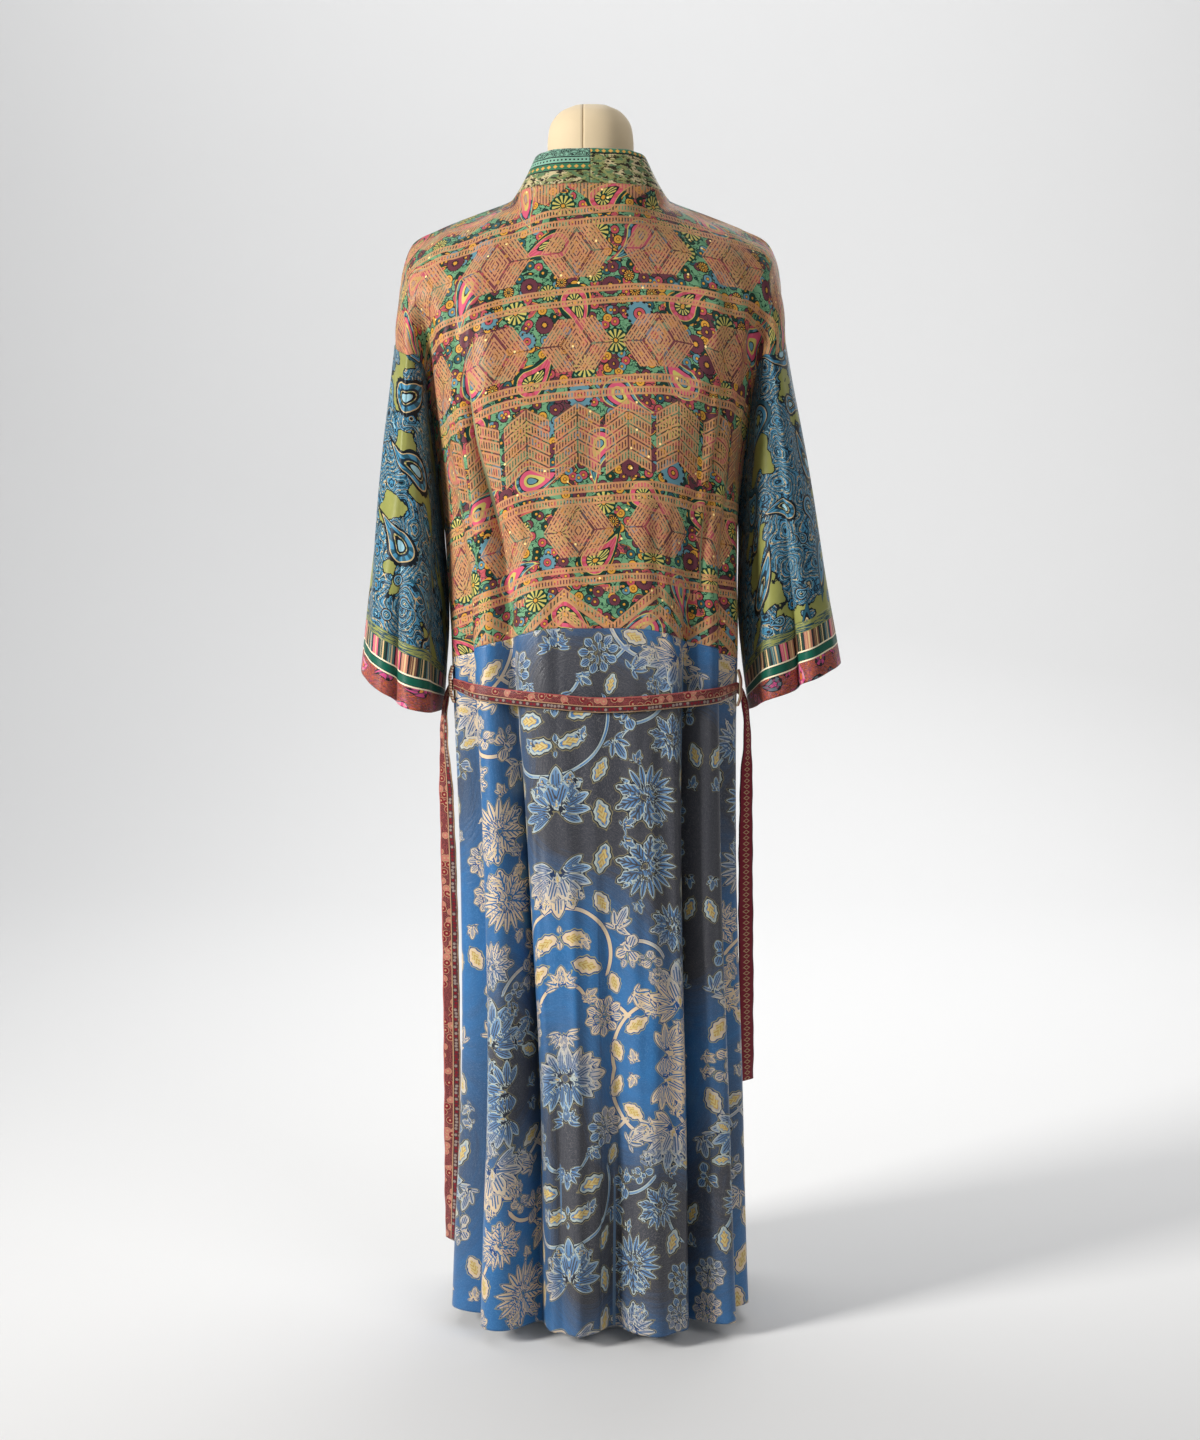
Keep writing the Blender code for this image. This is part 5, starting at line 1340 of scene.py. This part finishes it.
def belt_print(place):
    """Crimson and rose paisley between two beige edge stripes; the left tail's far side is darker."""
    vector, _ = read(place, "cloth")
    u, _, share = xyz(vector)
    ink, crimson, rose, beige = rgb(30, 16, 20), rgb(112, 16, 30), rgb(156, 78, 76), rgb(170, 136, 102)
    fine = noise(vector, 300.0, 2.0)
    ground = mix(noise(vector, 70.0) > 0.50, rose, rgb(120, 48, 48))
    ground = mix(fine.near(0.5, 0.05), ground, ink)
    gap, chance = cells(vector, 105.0)
    ground = mix((gap < 0.40) * (chance > 0.4), ground, mix(chance > 0.7, rgb(170, 104, 90), crimson))
    ground = mix(gap.near(0.42, 0.03) * (chance > 0.4), ground, beige)
    ground = mix((gap < 0.13) * (chance > 0.4), ground, beige)
    small, pick = cells(vector, 240.0, 0.3)
    lower = mix(small < 0.40, rgb(70, 40, 44), mix(pick > 0.5, rgb(136, 120, 112), crimson))
    colour = mix(share > 0.13, ground, lower)
    colour = mix(share.near(0.09, 0.030), colour, beige)
    colour = mix(share.near(0.135, 0.014), colour, ink)
    colour = mix((abs(share) > 0.43), colour, mix(share > 0.0, rgb(160, 80, 76), beige))
    diamonds = abs(wrap(u, 0.0, 0.007)) / 0.0030 + abs(share) / 0.24
    tail = mix((diamonds < 1.0) * (diamonds > 0.6), rgb(112, 18, 36), beige)
    tail = mix(abs(share) > 0.42, tail, rgb(60, 16, 28))
    return mix(u > 1.13, colour, tail)


across = np.linspace(-0.5, 0.5, 13)
grid, run = ribbon(BELT, 1201, across)
u = np.broadcast_to(run, grid.shape[:2])
share = across[:, None] + 0 * u
belt_silk = silk("belt_silk", belt_print, 0.42, 0.0002)
ways = normals(grid) * ((1 - np.abs(2 * across) ** 4) ** 0.5 * 0.8 + 0.2)[:, None, None]
fields = {"cloth": np.stack([u, share * 0.018, share], 2)}
piece = wall("tie_belt", grid, BELT_WALL, fields, (belt_silk, belt_silk), ways=ways)
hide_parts("belt")


def loop_print(place, rungs):
    """Cream silk with red-brown rungs, or with one red stripe down the middle."""
    vector, _ = read(place, "cloth")
    u, _, share = xyz(vector)
    cream, red = rgb(222, 200, 164), rgb(142, 58, 58)
    if rungs:
        return mix(((u / 0.0034).part() < 0.42) * (share > -0.22), cream, red)
    return mix(abs(share) < 0.20, cream, rgb(150, 44, 54))


LOOP_LONG = 0.046
LOOP_WIDE = 0.008
LOOP_WALL = 0.0011
# How far a loop stands off the cloth down its length, as a share of its stand-off
PROFILE = ((0.0, 0.32), (0.10, 0.62), (0.24, 0.94), (0.5, 1.0), (0.76, 0.94), (0.90, 0.62), (1.0, 0.32))
for word, top, bottom, way, stand in LOOPS:
    way = np.array([*way, 0.0]) / np.hypot(*way)
    side_way = np.array([-way[1], way[0], 0.0])
    down = np.linspace(0, 1, 49)
    proud = curve(PROFILE, down)
    path = np.array(top) + (np.array(bottom) - np.array(top)) * down[:, None] + way * proud * stand
    across = np.linspace(0.5, -0.5, 10)
    grid = path[:, None] + side_way * LOOP_WIDE * across[None, :, None]
    u = np.broadcast_to(down[:, None] * LOOP_LONG, grid.shape[:2])
    share = across[None] + 0 * u
    loop_silk = silk("loop_silk_" + word, lambda place: loop_print(place, word == "left"), 0.5, 0.0002)
    fields = {"cloth": np.stack([u, share * LOOP_WIDE, share], 2)}
    piece = wall("belt_loop_" + word + "_strip", grid, LOOP_WALL, fields, (loop_silk, loop_silk))
    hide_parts("belt_loop_" + word)

# ---- Studio -----------------------------------------------------------------------------------
# A pale floor that curves up into a backdrop with its own lamp, a soft key lamp to the left, a weak
# fill to the right.
run = np.linspace(0, 1, 60)
bend = np.clip((run - 0.45) / 0.25, 0, 1) * np.pi / 2
depth = np.where(run < 0.45, -8 + run / 0.45 * 10.5, 2.5 + 1.8 * np.sin(bend))
height = np.where(run < 0.45, 0, 1.8 * (1 - np.cos(bend))) + np.clip((run - 0.70) / 0.30, 0, 1) * 8
across = np.linspace(-12, 12, 3)
level = 0 * across
points = np.stack([across + 0 * depth[:, None], depth[:, None] + level, height[:, None] + level], 2)
index = np.arange(points.size // 3).reshape(points.shape[:2])
sweep = shaped("studio_sweep", points.reshape(-1, 3), quads(index).tolist())
paper, shader, place = material("pale_paper", 0.95, 0.0, 0.1)
shader.inputs["Base Color"].default_value = rgb(232, 232, 232)
sweep.data.materials.append(paper)

world = bpy.data.worlds.new("soft_room")
world.use_nodes = True
room_light = world.node_tree.nodes["Background"].inputs
room_light["Color"].default_value = (0.95, 0.97, 1.0, 1.0)
room_light["Strength"].default_value = 0.17
bpy.context.scene.world = world
LAMPS = (  # place, where it points, size, watts, spread in degrees, colour
    ("key_lamp", (-3.0, -1.8, 1.8), (0.0, 0.0, 0.75), 0.9, 28.5, 70, (1.0, 0.98, 0.95)),
    ("fill_lamp", (2.0, -2.7, 2.3), (0.1, 0.0, 1.2), 1.8, 27.0, 180, (1.0, 0.99, 0.98)),
    ("front_lamp", (0.8, 3.0, 2.2), (0.0, 0.0, 0.9), 1.8, 16.0, 180, (1.0, 1.0, 1.0)),
    ("backdrop_lamp", (0.0, 1.2, 3.6), (0.0, 4.3, 1.2), 3.0, 112.0, 180, (1.0, 1.0, 1.0)),
)
for name, spot, aim, size, power, spread, tint in LAMPS:
    lamp = bpy.data.lights.new(name, "AREA")
    lamp.size = size
    lamp.energy = power
    lamp.spread = np.radians(spread)
    lamp.color = tint
    held = bpy.data.objects.new(name, lamp)
    held.location = spot
    way = np.subtract(aim, spot)
    held.rotation_euler = (np.arctan2(np.hypot(way[0], way[1]), -way[2]), 0.0, np.arctan2(-way[0], way[1]))
    bpy.context.scene.collection.objects.link(held)

lens = bpy.data.cameras.new("camera")
lens.sensor_width = 36.0
lens.lens = 64.9
camera = bpy.data.objects.new("camera", lens)
camera.location = (0.011, -3.12, 1.127)
camera.rotation_euler = (np.radians(82.8), 0.0, 0.0)
bpy.context.scene.collection.objects.link(camera)
bpy.context.scene.camera = camera
bpy.context.scene.view_settings.view_transform = "Standard"
